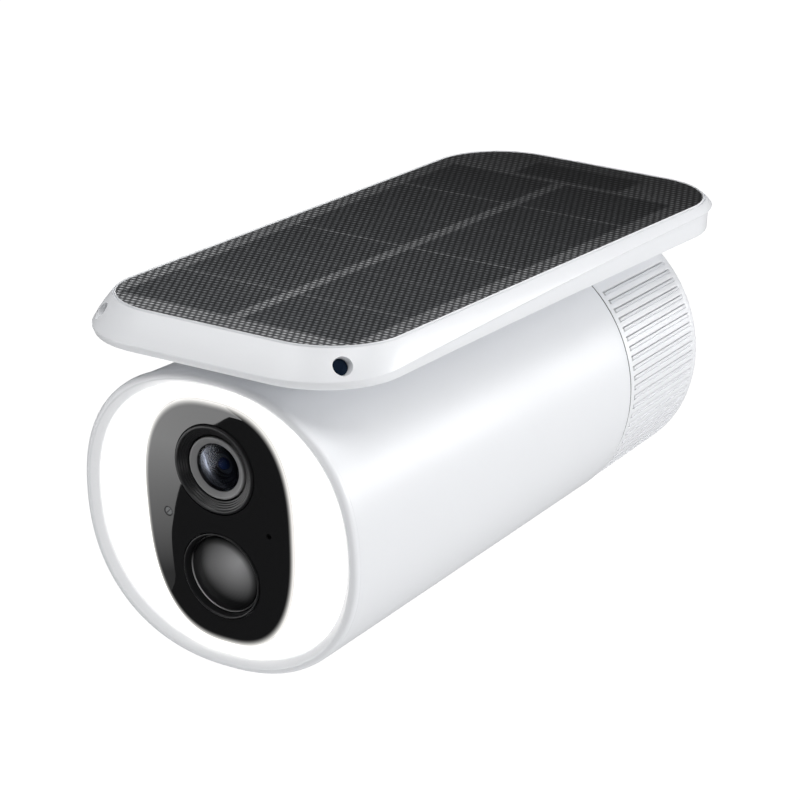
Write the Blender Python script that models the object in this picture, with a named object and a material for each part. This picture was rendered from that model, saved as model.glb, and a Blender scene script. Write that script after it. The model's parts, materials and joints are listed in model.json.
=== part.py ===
"""Solar-powered security camera: barrel camera with a ring light and a panel that rolls with a tilt ring.

Metres, +Z up. The origin is the centre of the rear mounting face, on the tilt axis. The camera looks
along -Y, +X is to the right of someone who faces its lens, and the solar panel lies on top.
"""
import math

import bmesh
import bpy
from mathutils import Matrix, Vector

MM = 0.001
GAP = 0.3 * MM

# Front face: its plane leans forward at the top, and face pieces are placed in it (x, depth, height).
FACE_Y = -198.6 * MM
FACE_Z = -4.2 * MM
FACE_LEAN = math.radians(6.2)

# Barrel: a rounded square at the rim that becomes a circle at the rear.
RIM_HALF_WIDTH = 43.1 * MM
RIM_HALF_HEIGHT = 41.6 * MM
RIM_POWER = 2.25
REAR_RADIUS = 38.1 * MM
BARREL_REAR_Y = -55.0 * MM
BARREL_WALL = 2.4 * MM
BARREL_FRONT_DEPTH = 2.3 * MM
BARREL_FRONT_CHAMFER = 0.5 * MM
BARREL_STATIONS = 4

# Black face cover and what looks through it.
COVER_HALF_WIDTH = 23.1 * MM
COVER_HALF_HEIGHT = 34.2 * MM
COVER_POWER = 2.6
COVER_EGG = 0.04
LENS_Z = 15.6 * MM
LENS_HOLE_RADIUS = 12.6 * MM
SENSOR_Z = -14.7 * MM
SENSOR_HOLE_RADIUS = 12.3 * MM
SIDE_PORT_X = 16.0 * MM
SIDE_PORT_Z = 0.25 * MM
MICROPHONE_HOLE_RADIUS = 0.8 * MM
STATUS_HOLE_RADIUS = 1.4 * MM
HOLDER_BORE = 6.6 * MM
DOME_RADIUS = 10.9 * MM
DOME_RISE = 3.6 * MM
DOME_RIM_DEPTH = 1.6 * MM
DOME_WALL = 1.0 * MM
DOME_INNER_RISE = 3.2 * MM
DOME_INNER_RIM_DEPTH = 2.2 * MM
DOME_SKIRT_DEPTH = 5.0 * MM
LED_SIZE = 3.0 * MM
LED_HEIGHT = 1.4 * MM
LED_DEPTH = 8.2 * MM
LED_EVERY = 6
CHASSIS_LENS_BORE = 7.9 * MM
CHASSIS_SENSOR_BORE = 5.1 * MM

# Tilt ring and its bearing: the ring narrows to the rear, and its rear end sits a little above the axis.
RING_FRONT_RADIUS = 37.9 * MM
RING_REAR_RADIUS = 36.3 * MM
RING_REAR_RISE = 1.8 * MM
RING_INNER_RADIUS = 31.5 * MM
RING_FRONT_Y = -54.4 * MM
RING_ROUND_Y = -16.2 * MM
RING_REAR_Y = -14.0 * MM
RING_FRONT_CHAMFER = 0.2 * MM
RING_REAR_ROUND = 1.5 * MM
GROOVE_FRONT_Y = -52.5 * MM
GROOVE_REAR_Y = -17.6 * MM
GROOVE_WALL_RUN = 0.2 * MM
GROOVE_DEPTH = 0.7 * MM
GROOVE_PITCH = 4.36
GROOVE_SHARE = 0.42
GROOVE_FLANK = 0.12
NECK_EDGE_ANGLE = 48.4
NECK_HALF_WIDTH = 22.5 * MM
CABLE_HOLE_RADIUS = 4.0 * MM
CABLE_HOLE_Y = -34.0 * MM
SPINDLE_RADIUS = 14.0 * MM
SPINDLE_BORE = 10.0 * MM
FLANGE_FRONT_Y = -62.0 * MM
FLANGE_REAR_Y = -56.5 * MM
FLANGE_CLEARANCE = 0.5 * MM
HUB_BORE = 16.3 * MM
HUB_RADIUS = 19.5 * MM
HUB_FRONT_Y = -46.0 * MM
HUB_DISC_Y = -19.0 * MM
BUSH_LENGTH = 6.0 * MM

# Tilt drive: a pinion inside a toothed sector.
MODULE = 1.0 * MM
SECTOR_TEETH = 56
PINION_TEETH = 12
SECTOR_SPAN_TEETH = 17
ADDENDUM = 0.8 * MODULE
DEDENDUM = 1.15 * MODULE
TOOTH_SHARE = 0.82
TOOTH_ROOT_HALF = 1.45
TOOTH_TIP_HALF = 0.55
GEAR_FRONT_Y = -53.0 * MM
GEAR_REAR_Y = -48.5 * MM
PINION_Z = -0.5 * (SECTOR_TEETH - PINION_TEETH) * MODULE
SHAFT_RADIUS = 2.0 * MM
SHAFT_CLEARANCE = 0.4 * MM
SHAFT_FRONT_Y = -61.8 * MM
MOTOR_RADIUS = 9.0 * MM
MOTOR_FRONT_Y = -80.0 * MM
MOTOR_REAR_Y = -62.4 * MM

# Solar panel.
GLASS_HALF_WIDTH = 42.0 * MM
GLASS_FRONT_Y = -200.0 * MM
GLASS_REAR_Y = -10.2 * MM
GLASS_CORNER = 21.0 * MM
GLASS_CLEARANCE = 0.3 * MM
GLASS_TOP_DEPTH = 0.05 * MM
GLASS_BOTTOM_DEPTH = 0.8 * MM
GLASS_POCKET_DEPTH = 1.1 * MM
PANEL_TOP_Z = 50.2 * MM
PANEL_DEPTH = 8.7 * MM
PANEL_BOTTOM_Z = PANEL_TOP_Z - PANEL_DEPTH
NECK_TOP_Z = PANEL_BOTTOM_Z - GAP
CREASE_FRONT_DEPTH = 7.4 * MM
CREASE_REAR_DEPTH = 2.2 * MM
CREASE_POWER = 1.7
CREASE_LIP = 0.5 * MM
FRAME_TOP_ROUND = 0.3 * MM
FRAME_LEDGE = 0.8 * MM
CELL_ROWS = 6
CELL_FIRST_Y = GLASS_FRONT_Y + 8.4 * MM
CELL_PITCH = 26.25 * MM
CELL_LENGTH = 25.2 * MM
CELL_INNER_X = 1.0 * MM
CELL_OUTER_X = 36.2 * MM
CELL_TOP_DEPTH = 1.2 * MM
CELL_THICKNESS = 0.4 * MM
RIBBON_SHARES = (0.3, 0.7)
RIBBON_HALF_WIDTH = 0.8 * MM
RIBBON_INSET = 2.0 * MM
RIBBON_TOP_DEPTH = 1.5 * MM
RIBBON_BOTTOM_DEPTH = 1.75 * MM
BACKSHEET_DEPTHS = (2.1 * MM, 3.1 * MM)
BACK_COVER_THICKNESS = 1.8 * MM

# Margins of the frame's outside round the glass, in millimetres: at the sides in front, at the sides behind,
# in front, behind, and added to the corner radius.
FRAME_TOP_MARGINS = (0.9, 0.9, 0.9, 0.9, 0.9)
FRAME_SHOULDER_MARGINS = (2.6, 2.1, 4.6, 2.3, 2.4)
FRAME_CREASE_MARGINS = (3.8, 2.8, 7.6, 3.2, 3.4)
FRAME_LIP_MARGINS = (3.7, 1.9, 7.4, 2.2, 3.0)
FRAME_LOWER_MARGINS = (3.3, 1.7, 5.6, 2.0, 2.6)
FRAME_BOTTOM_MARGINS = (2.9, 1.3, 4.6, 1.6, 2.2)
SHOULDER_SHARE = 0.42

# Light-sensor eyes on the frame's corners: degrees round the corner and of slope, the rest in millimetres.
FRONT_EYE = {"bearing": -48.0, "below_top": 4.3, "spread": 3.6, "slope": 38.0, "radius": 2.85, "depth": 1.5,
             "sink": 0.9}
REAR_EYE = {"bearing": 48.0, "below_top": 1.1, "spread": 1.9, "slope": 45.0, "radius": 1.3, "depth": 0.7,
            "sink": 0.15}
EYE_CLEARANCE = 0.35 * MM

# Rear mount.
CAP_RADIUS = 24.0 * MM
CAP_FRONT_Y = -13.7 * MM
CAP_PLUG_Y = -22.0 * MM
INSERT_RADIUS = 5.0 * MM
INSERT_LENGTH = 9.5 * MM
INSERT_SINK = 0.2 * MM
INSERT_LEAD_IN = 0.5 * MM
THREAD_RADIUS = 2.75 * MM
POCKET_FRONT_Y = -11.5 * MM
CAP_SCREW_START = 94.0
CAP_SCREW_CIRCLE = 12.0 * MM

# Screws.
SCREW_HOLE_RADIUS = 1.6 * MM
HEAD_HOLE_RADIUS = 2.9 * MM
HEAD_HOLE_FRONT_Y = -4.5 * MM
SCREW_SHANK_RADIUS = 1.3 * MM
SCREW_HEAD_RADIUS = 2.6 * MM
SCREW_HEAD_HEIGHT = 1.4 * MM
SCREW_SOCKET_RADIUS = 1.2 * MM
SCREW_SOCKET_Y = -3.6 * MM
CAP_SCREW_HOLE_FRONT_Y = -24.0 * MM
PANEL_SCREW_X = 16.0 * MM
PANEL_SCREW_YS = (-48.0 * MM, -20.0 * MM)
PANEL_SCREW_END_Z = 35.2 * MM
PANEL_SCREW_HOLE_Z = 34.6 * MM

# Underside service openings, placed along the barrel.
PORT_FRONT_Y = -118.0 * MM
PORT_REAR_Y = -102.0 * MM
PORT_HALF_WIDTH = 13.0 * MM
PORT_COVER_INSETS = (0.05 * MM, 1.9 * MM)
BUTTON_Y = -132.0 * MM
BUTTON_RADIUS = 4.0 * MM
BUTTON_PROUD = 0.5 * MM
SWITCH_HEIGHT = 2.2 * MM
SWITCH_HALF_WIDTH = 3.0 * MM
BUTTON_TRAVEL_ROOM = 1.2 * MM
BUTTON_STEM_RADIUS = 1.6 * MM
SERVICE_BOARD_RISE = 9.0 * MM
SERVICE_BOARD_HALF_WIDTH = 15.0 * MM
SERVICE_BOARD_ENDS = (-139.0 * MM, -99.0 * MM)
BOARD_THICKNESS = 1.4 * MM
SOCKET_HALF_WIDTH = 4.5 * MM
SOCKET_HALF_LENGTH = 1.6 * MM
SOCKET_RISE = 3.4 * MM
SOCKET_WALL = 0.4 * MM
SOCKET_ROOF = 0.9 * MM
SPEAKER_Y = -160.0 * MM
SPEAKER_Z = -33.5 * MM
SPEAKER_SLOTS_EACH_SIDE = 2
SPEAKER_SLOT_PITCH = 3.2 * MM
SPEAKER_SLOT_HALF_WIDTH = 0.6 * MM
SPEAKER_SLOT_HALF_LENGTH = 8.0 * MM
SPEAKER_SLOT_SHORTENING = 1.2 * MM
CUT_REACH = 9.0 * MM

# Profiles that follow the rim's or the cover's outline, in millimetres: inset (or growth) and depth.
BEZEL_PROFILE = ((0.0, 2.0), (0.0, 0.9), (0.25, 0.3), (0.8, 0.0), (1.3, 0.05), (3.8, 1.5), (4.1, 2.2),
                 (4.1, 6.0), (3.2, 6.0), (3.2, 2.0))
SEAL_PROFILE = ((3.4, 6.3), (4.6, 6.3), (4.6, 7.6), (3.4, 7.6))
DIFFUSER_RIM_PROFILE = ((4.4, 4.6), (4.4, 2.0), (4.8, 1.6))
DIFFUSER_CREST_INSET = 9.0
DIFFUSER_CREST_GROWTH = 4.0
DIFFUSER_CREST_DEPTH = 1.3
DIFFUSER_COVER_PROFILE = ((1.6, 1.5), (0.6, 2.0), (0.3, 2.9), (0.3, 4.6))
COVER_SIDE_PROFILE = ((0.0, 4.2), (-2.0, 4.2), (-2.4, 2.2))
LED_BOARD_DEPTHS = (8.4, 9.4)
LED_BOARD_INSET = 6.0
LED_BOARD_GROWTH = 1.0
CHASSIS_DEPTHS = (9.8, 11.8)
CHASSIS_INSET = 4.0

# The cover's crowned front: share of the outline and depth in millimetres.
COVER_CROWN = ((0.80, 0.3), (0.92, 0.6), (0.98, 1.3), (1.0, 2.3))

# Profiles turned round an axis of the face, in millimetres: radius and depth.
HOOD_PROFILE = ((12.3, 5.0), (12.3, 0.2), (12.1, 0.0), (11.4, 0.0), (11.2, 0.4), (10.7, 0.5), (10.6, 0.8),
                (10.2, 0.9), (10.1, 1.2), (9.7, 1.3), (9.6, 1.6), (9.2, 1.7), (9.2, 5.0))
CONE_PROFILE = ((8.7, 6.0), (8.7, 1.5), (8.4, 1.3), (8.0, 1.35), (6.9, 1.9), (6.7, 2.1), (6.7, 6.0))
LENS_FRONT_PROFILE = ((0.6, 0.75), (2.0, 0.85), (3.7, 1.15), (5.0, 1.5), (6.4, 2.0), (6.4, 4.6))
LENS_TUBE_PROFILE = ((5.9, 4.9), (5.9, 6.3), (7.5, 6.3), (7.5, 15.0), (6.2, 15.0), (6.2, 17.5))
SEAT_PROFILE = ((12.0, 5.0), (12.0, 0.2), (11.8, 0.0), (11.3, 0.15), (11.2, 1.0), (11.2, 5.0))
SENSOR_CAN_PROFILE = ((4.1, 9.0), (4.1, 12.3), (4.7, 12.4), (4.7, 13.2))
STATUS_GUIDE_PROFILE = ((1.05, 0.7), (1.05, 7.5))
MICROPHONE_PROFILE = ((2.0, 2.6), (2.0, 4.8))

# Other turned profiles, in millimetres: radius and place along the axis.
BATTERY_PROFILE = ((9.6, -158.0), (10.5, -157.2), (10.5, -88.8), (9.6, -88.0), (4.0, -88.0), (4.0, -87.0))
SPEAKER_PROFILE = ((13.0, 0.0), (13.0, 3.0), (8.0, 3.2), (8.0, 6.5))
BUTTON_PROFILE = ((3.0, 0.0), (3.6, 0.4), (3.6, 3.6), (4.7, 3.7), (4.7, 4.5), (1.6, 4.6))
CAP_EDGE_PROFILE = ((24.0, -1.2), (23.6, -0.4), (22.8, 0.0))
CAP_SCREW_PROFILE = ((1.3, -22.0), (1.3, -4.2), (2.6, -4.2), (2.6, -2.6), (2.3, -2.3))

# Boxes, in millimetres: low corner and high corner. The first five are placed on the lens axis in the face.
LENS_HOLDER_BOX = ((-14.0, 15.3, -9.0), (14.0, 23.0, 9.0))
FILTER_SLOT_BOX = ((-12.0, 18.2, -7.0), (12.0, 19.8, 7.0))
FILTER_BOX = ((-11.0, 18.7, -6.5), (4.5, 19.3, 6.5))
SENSOR_BOARD_BOX = ((-14.0, 23.3, -12.0), (14.0, 24.5, 12.0))
IMAGE_CHIP_BOX = ((-4.0, 22.3, -3.0), (4.0, 24.0, 3.0))
MAIN_BOARD_BOX = ((-27.0, -168.0, 13.0), (27.0, -72.0, 14.6))
MAIN_CHIPS_BOX = ((-9.0, -140.0, 14.0), (9.0, -122.0, 16.6))
ANTENNA_BOX = ((-20.0, -112.0, 22.0), (20.0, -104.0, 22.8))
TRAY_BOX = ((-25.0, -161.0, -17.6), (25.0, -85.0, -6.0))
TRAY_HOLLOW_BOX = ((-23.2, -159.0, -14.9), (23.2, -86.6, -4.0))
CHARGE_BOARD_BOX = ((-30.0, -120.0, 44.0), (2.0, -76.0, 45.0))
CHARGE_CHIPS_BOX = ((-22.0, -108.0, 44.6), (-8.0, -96.0, 46.0))
BATTERY_X = 11.2 * MM
BATTERY_Z = -4.0 * MM

OUTLINE_SIDES = 48
ROUND_SIDES = 28
HUB_SIDES = 32
SMALL_SIDES = 14
SCREW_SIDES = 10
SCREW_HOLE_SIDES = 12
EYE_SIDES = 16
CELL_SIDES = 20
HEXAGON = 6
CORNER_STEPS = 6
DOME_STEPS = 4
DOME_TIP_SHARE = 0.35


# ---------------------------------------------------------------- materials

def material(name, colour, roughness, metallic=0.0, transmission=0.0, glow=0.0):
    """A Principled material, made once and shared by every piece that names it."""
    if name in bpy.data.materials:
        return bpy.data.materials[name]
    made = bpy.data.materials.new(name)
    made.use_nodes = True
    shader = made.node_tree.nodes["Principled BSDF"]
    shader.inputs["Base Color"].default_value = (*colour, 1.0)
    shader.inputs["Roughness"].default_value = roughness
    shader.inputs["Metallic"].default_value = metallic
    shader.inputs["Transmission Weight"].default_value = transmission
    shader.inputs["Emission Color"].default_value = (1.0, 0.97, 0.9, 1.0)
    shader.inputs["Emission Strength"].default_value = glow
    return made


def white_shell():
    return material("white_shell", (0.84, 0.85, 0.87), 0.42)


def glowing_diffuser():
    return material("glowing_diffuser", (0.97, 0.96, 0.92), 0.35, glow=1.0)


def gloss_black():
    return material("gloss_black", (0.012, 0.012, 0.013), 0.08)


def satin_black():
    return material("satin_black", (0.02, 0.02, 0.022), 0.38)


def grey_cone():
    return material("grey_cone", (0.11, 0.11, 0.115), 0.3)


def lens_glass():
    return material("lens_glass", (0.02, 0.025, 0.05), 0.03)


def eye_glass():
    return material("eye_glass", (0.01, 0.018, 0.05), 0.06)


def clear_guide():
    return material("clear_guide", (0.45, 0.46, 0.48), 0.25, transmission=0.3)


def circuit_green():
    return material("circuit_green", (0.02, 0.16, 0.07), 0.45)


def white_board():
    return material("white_board", (0.8, 0.8, 0.78), 0.4)


def solar_laminate():
    return material("solar_laminate", (0.05, 0.052, 0.056), 0.35)


def solar_cell():
    return material("solar_cell", (0.015, 0.018, 0.035), 0.25)


def steel():
    return material("steel", (0.62, 0.62, 0.63), 0.3, metallic=1.0)


def brass():
    return material("brass", (0.72, 0.53, 0.24), 0.3, metallic=1.0)


def grey_plastic():
    return material("grey_plastic", (0.3, 0.31, 0.32), 0.5)


def acetal():
    return material("acetal", (0.78, 0.77, 0.72), 0.4)


def rubber():
    return material("rubber", (0.5, 0.51, 0.52), 0.75)


def cell_wrap():
    return material("cell_wrap", (0.05, 0.2, 0.45), 0.35)


def filter_glass():
    return material("filter_glass", (0.25, 0.45, 0.45), 0.05, transmission=0.6)


# ---------------------------------------------------------------- mesh helpers

def mix(start, end, share):
    return start + (end - start) * share


def metres(points):
    """Points given in millimetres, in metres."""
    return [tuple(value * MM for value in point) for point in points]


def clear_scene():
    for old in list(bpy.data.objects):
        bpy.data.objects.remove(old, do_unlink=True)


def frame_empty(name, location, rotation=(0.0, 0.0, 0.0)):
    """An empty that other pieces are parented to."""
    empty = bpy.data.objects.new(name, None)
    empty.location = location
    empty.rotation_euler = rotation
    bpy.context.collection.objects.link(empty)
    return empty


def add_piece(name, shape, look, parent=None, location=(0.0, 0.0, 0.0), sharp=32.0):
    """Turn a bmesh into a named object with outward faces, its material and smooth shading."""
    bmesh.ops.recalc_face_normals(shape, faces=shape.faces[:])
    mesh = bpy.data.meshes.new(name)
    shape.to_mesh(mesh)
    shape.free()
    mesh.materials.append(look)
    mesh.shade_smooth()
    mesh.set_sharp_from_angle(angle=math.radians(sharp))
    piece = bpy.data.objects.new(name, mesh)
    piece.location = location
    piece.parent = parent
    bpy.context.collection.objects.link(piece)
    return piece


def skin(rings, closed=False):
    """Faces through rings of points: closed joins the last ring to the first, else both ends are capped."""
    shape = bmesh.new()
    rows = [[shape.verts.new(point) for point in ring] for ring in rings]
    pairs = list(zip(rows, rows[1:]))
    if closed:
        pairs.append((rows[-1], rows[0]))
    for near, far in pairs:
        for index, corner in enumerate(near):
            after = (index + 1) % len(near)
            shape.faces.new((corner, near[after], far[after], far[index]))
    if not closed:
        shape.faces.new(rows[0])
        shape.faces.new(rows[-1])
    return shape


def circle(radius, y, sides=ROUND_SIDES, centre=(0.0, 0.0)):
    """Points of a circle round an axis along Y."""
    turns = [2.0 * math.pi * (step + 0.4) / sides for step in range(sides)]
    return [(centre[0] + radius * math.cos(turn), y, centre[1] + radius * math.sin(turn)) for turn in turns]


def turned(profile, sides=ROUND_SIDES, centre=(0.0, 0.0), closed=False):
    """A shape turned round an axis along Y from (radius, y) points; a closed profile makes a ring."""
    return skin([circle(radius, y, sides, centre) for radius, y in profile], closed)


def rod(radius, start_y, end_y, sides=ROUND_SIDES, centre=(0.0, 0.0)):
    """A cylinder along Y."""
    return turned([(radius, start_y), (radius, end_y)], sides, centre)


def block(low, high):
    """A box between two corners."""
    shape = bmesh.new()
    size = Vector(high) - Vector(low)
    centre = (Vector(high) + Vector(low)) / 2.0
    place = Matrix.Translation(centre) @ Matrix.Diagonal((*size, 1.0))
    bmesh.ops.create_cube(shape, size=1.0, matrix=place)
    return shape


def box(corners, rise=0.0):
    """A box from its two corners in millimetres, raised along Z."""
    low, high = [(x, y, z + rise) for x, y, z in metres(corners)]
    return block(low, high)


def post(radius, x, y, low_z, high_z, sides=SMALL_SIDES):
    """A cylinder along Z."""
    shape = bmesh.new()
    place = Matrix.Translation((x, y, (low_z + high_z) / 2.0))
    bmesh.ops.create_cone(shape, cap_ends=True, segments=sides, radius1=radius, radius2=radius,
                          depth=high_z - low_z, matrix=place)
    return shape


def combine(piece, name, shape, operation):
    """Join a helper shape to a piece, or cut it from the piece, with an exact Boolean."""
    helper = add_piece(name, shape, piece.data.materials[0], parent=piece.parent, location=piece.location)
    helper.hide_render = True
    helper.display_type = "WIRE"
    change = piece.modifiers.new(name, "BOOLEAN")
    change.operation = operation
    change.solver = "EXACT"
    change.object = helper


def cut(piece, name, shape):
    combine(piece, name, shape, "DIFFERENCE")


def join(piece, name, shape):
    combine(piece, name, shape, "UNION")


def superellipse(half_width, half_height, power, sides=OUTLINE_SIDES):
    """Points (across, up) of a rounded outline; a power of 2 gives an ellipse."""
    points = []
    for step in range(sides):
        turn = 2.0 * math.pi * step / sides
        across, up = math.cos(turn), math.sin(turn)
        points.append((half_width * math.copysign(abs(across) ** (2.0 / power), across),
                       half_height * math.copysign(abs(up) ** (2.0 / power), up)))
    return points


# ---------------------------------------------------------------- outlines

def rim_ring(inset, depth):
    """The rim's outline in the face frame."""
    outline = superellipse(RIM_HALF_WIDTH - inset, RIM_HALF_HEIGHT - inset, RIM_POWER)
    return [(across, depth, up) for across, up in outline]


def rim_rings(profile):
    """Rings round the rim from (inset, depth) points in millimetres."""
    return [rim_ring(inset, depth) for inset, depth in metres(profile)]


def cover_ring(grow, depth, scale=1.0):
    """The black cover's egg-shaped outline in the face frame, a little wider at its top."""
    outline = superellipse(COVER_HALF_WIDTH * scale + grow, COVER_HALF_HEIGHT * scale + grow, COVER_POWER)
    return [(across * (1.0 + COVER_EGG * up / COVER_HALF_HEIGHT), depth, up) for across, up in outline]


def cover_rings(profile):
    """Rings round the cover from (growth, depth) points in millimetres."""
    return [cover_ring(grow, depth) for grow, depth in metres(profile)]


def halfway(outer, inner):
    """The ring of points midway between two rings."""
    return [tuple((first + second) / 2.0 for first, second in zip(a, b)) for a, b in zip(outer, inner)]


def barrel_ring(share, inset):
    """A section of the barrel, from the rim (share 0) to the round rear end (share 1)."""
    half_width = mix(RIM_HALF_WIDTH, REAR_RADIUS, share) - inset
    half_height = mix(RIM_HALF_HEIGHT, REAR_RADIUS, share) - inset
    lean = FACE_LEAN * (1.0 - share)
    y = mix(FACE_Y, BARREL_REAR_Y, share)
    z = mix(FACE_Z, 0.0, share)
    outline = superellipse(half_width, half_height, mix(RIM_POWER, 2.0, share))
    return [(across, y - up * math.sin(lean), z + up * math.cos(lean)) for across, up in outline]


def barrel_share(y):
    return (y - FACE_Y) / (BARREL_REAR_Y - FACE_Y)


def barrel_bottom_z(y):
    """Height of the barrel's lowest outer line at a place along it."""
    return mix(FACE_Z - RIM_HALF_HEIGHT, -REAR_RADIUS, barrel_share(y))


def barrel_tube(outer_inset, inner_inset, front_share, rear_share=1.0):
    """A tube that follows the barrel between two insets."""
    last = BARREL_STATIONS - 1
    stations = [mix(front_share, rear_share, step / last) for step in range(BARREL_STATIONS)]
    rings = [barrel_ring(share, outer_inset) for share in stations]
    rings += [barrel_ring(share, inner_inset) for share in reversed(stations)]
    return rings


def panel_outline(half_front, half_rear, front_y, rear_y, corner, height):
    """A rounded rectangle seen from above; its half width changes evenly from front to rear."""
    points = []
    corners = [(1.0, -90.0, front_y + corner), (1.0, 0.0, rear_y - corner),
               (-1.0, 90.0, rear_y - corner), (-1.0, 180.0, front_y + corner)]
    for side, first, centre_y in corners:
        for step in range(CORNER_STEPS + 1):
            turn = math.radians(first + 90.0 * step / CORNER_STEPS)
            y = centre_y + corner * math.sin(turn)
            share = (y - front_y) / (rear_y - front_y)
            half = mix(half_front, half_rear, share)
            points.append((side * (half - corner) + corner * math.cos(turn), y, height(y)))
    return points


def panel_ring(grow, depth):
    """The glass outline grown by an even margin, at one depth below the panel's top."""
    return panel_outline(GLASS_HALF_WIDTH + grow, GLASS_HALF_WIDTH + grow, GLASS_FRONT_Y - grow,
                         GLASS_REAR_Y + grow, GLASS_CORNER + grow, lambda y: PANEL_TOP_Z - depth)


def frame_ring(margins, height):
    """A ring of the frame's outside, from its margins round the glass."""
    sides_front, sides_rear, front, rear, corner = [margin * MM for margin in margins]
    return panel_outline(GLASS_HALF_WIDTH + sides_front, GLASS_HALF_WIDTH + sides_rear, GLASS_FRONT_Y - front,
                         GLASS_REAR_Y + rear, GLASS_CORNER + corner, height)


def crease_z(y):
    """Height of the crease on the frame's side, deep at the front and shallow at the rear."""
    share = min(1.0, max(0.0, (y - GLASS_FRONT_Y) / (GLASS_REAR_Y - GLASS_FRONT_Y)))
    return PANEL_TOP_Z - mix(CREASE_REAR_DEPTH, CREASE_FRONT_DEPTH, (1.0 - share) ** CREASE_POWER)


# ---------------------------------------------------------------- front face

def build_barrel():
    chamfer_share = BARREL_FRONT_CHAMFER / (BARREL_REAR_Y - FACE_Y)
    front_share = BARREL_FRONT_DEPTH / (BARREL_REAR_Y - FACE_Y)
    rings = [barrel_ring(front_share, BARREL_FRONT_CHAMFER)]
    rings += barrel_tube(0.0, BARREL_WALL, front_share + chamfer_share)
    shell = add_piece("barrel_shell", skin(rings, closed=True), white_shell())
    wall_z = barrel_bottom_z(BUTTON_Y)
    low_z, high_z = wall_z - CUT_REACH, wall_z + CUT_REACH
    cut(shell, "port_opening_cutter", block((-PORT_HALF_WIDTH, PORT_FRONT_Y, low_z),
                                            (PORT_HALF_WIDTH, PORT_REAR_Y, high_z)))
    cut(shell, "button_hole_cutter", post(BUTTON_RADIUS, 0.0, BUTTON_Y, low_z, high_z))
    for index in range(-SPEAKER_SLOTS_EACH_SIDE, SPEAKER_SLOTS_EACH_SIDE + 1):
        middle = SPEAKER_Y + index * SPEAKER_SLOT_PITCH
        half = SPEAKER_SLOT_HALF_LENGTH - SPEAKER_SLOT_SHORTENING * abs(index)
        cut(shell, f"speaker_slot_cutter_{index + SPEAKER_SLOTS_EACH_SIDE + 1}",
            block((-half, middle - SPEAKER_SLOT_HALF_WIDTH, low_z),
                  (half, middle + SPEAKER_SLOT_HALF_WIDTH, high_z)))


def build_bezel(face):
    add_piece("front_bezel", skin(rim_rings(BEZEL_PROFILE), closed=True), white_shell(), face)
    add_piece("front_seal", skin(rim_rings(SEAL_PROFILE), closed=True), rubber(), face)


def build_diffuser(face):
    """Opal ring over the lights: a low crest between its rim and the cover's edge."""
    depth = DIFFUSER_CREST_DEPTH * MM
    crest = halfway(rim_ring(DIFFUSER_CREST_INSET * MM, depth), cover_ring(DIFFUSER_CREST_GROWTH * MM, depth))
    rings = rim_rings(DIFFUSER_RIM_PROFILE) + [crest] + cover_rings(DIFFUSER_COVER_PROFILE)
    add_piece("light_diffuser", skin(rings, closed=True), glowing_diffuser(), face)


def build_cover(face):
    rings = [cover_ring(0.0, depth * MM, share) for share, depth in COVER_CROWN]
    rings += cover_rings(COVER_SIDE_PROFILE)
    cover = add_piece("face_cover", skin(rings), gloss_black(), face)
    holes = {"lens_hole_cutter": (LENS_HOLE_RADIUS, 0.0, LENS_Z, ROUND_SIDES),
             "sensor_hole_cutter": (SENSOR_HOLE_RADIUS, 0.0, SENSOR_Z, ROUND_SIDES),
             "microphone_hole_cutter": (MICROPHONE_HOLE_RADIUS, SIDE_PORT_X, SIDE_PORT_Z, SMALL_SIDES),
             "status_hole_cutter": (STATUS_HOLE_RADIUS, -SIDE_PORT_X, SIDE_PORT_Z, SMALL_SIDES)}
    for name, (radius, x, z, sides) in holes.items():
        cut(cover, name, rod(radius, -CUT_REACH, CUT_REACH, sides, (x, z)))


def build_lens(face):
    """The camera module: grooved ring, cone, front glass, barrel, holder, sliding filter and sensor board."""
    place = (0.0, LENS_Z)
    add_piece("lens_hood_ring", turned(metres(HOOD_PROFILE), centre=place, closed=True), satin_black(), face)
    add_piece("lens_cone_ring", turned(metres(CONE_PROFILE), centre=place, closed=True), grey_cone(), face)
    add_piece("lens_front_glass", turned(metres(LENS_FRONT_PROFILE), centre=place), lens_glass(), face)
    add_piece("lens_barrel", turned(metres(LENS_TUBE_PROFILE), centre=place), satin_black(), face)

    holder = add_piece("lens_holder", box(LENS_HOLDER_BOX, LENS_Z), satin_black(), face)
    holder_front, holder_rear = [y for _, y, _ in metres(LENS_HOLDER_BOX)]
    cut(holder, "holder_bore_cutter", rod(HOLDER_BORE, holder_front - MM, holder_rear + MM, centre=place))
    cut(holder, "filter_slot_cutter", box(FILTER_SLOT_BOX, LENS_Z))
    add_piece("infrared_filter", box(FILTER_BOX, LENS_Z), filter_glass(), face)
    board = add_piece("image_sensor_board", box(SENSOR_BOARD_BOX, LENS_Z), circuit_green(), face)
    join(board, "image_chip", box(IMAGE_CHIP_BOX, LENS_Z))


def dome(radius, rise, base_depth):
    """Profile of a spherical cap that bulges towards -Y, from near its tip to its rim."""
    sphere = (radius ** 2 + rise ** 2) / (2.0 * rise)
    edge = math.asin(radius / sphere)
    turns = [edge * (step + DOME_TIP_SHARE) / (DOME_STEPS + DOME_TIP_SHARE) for step in range(DOME_STEPS + 1)]
    return [(sphere * math.sin(turn), base_depth - rise + sphere * (1.0 - math.cos(turn))) for turn in turns]


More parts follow.
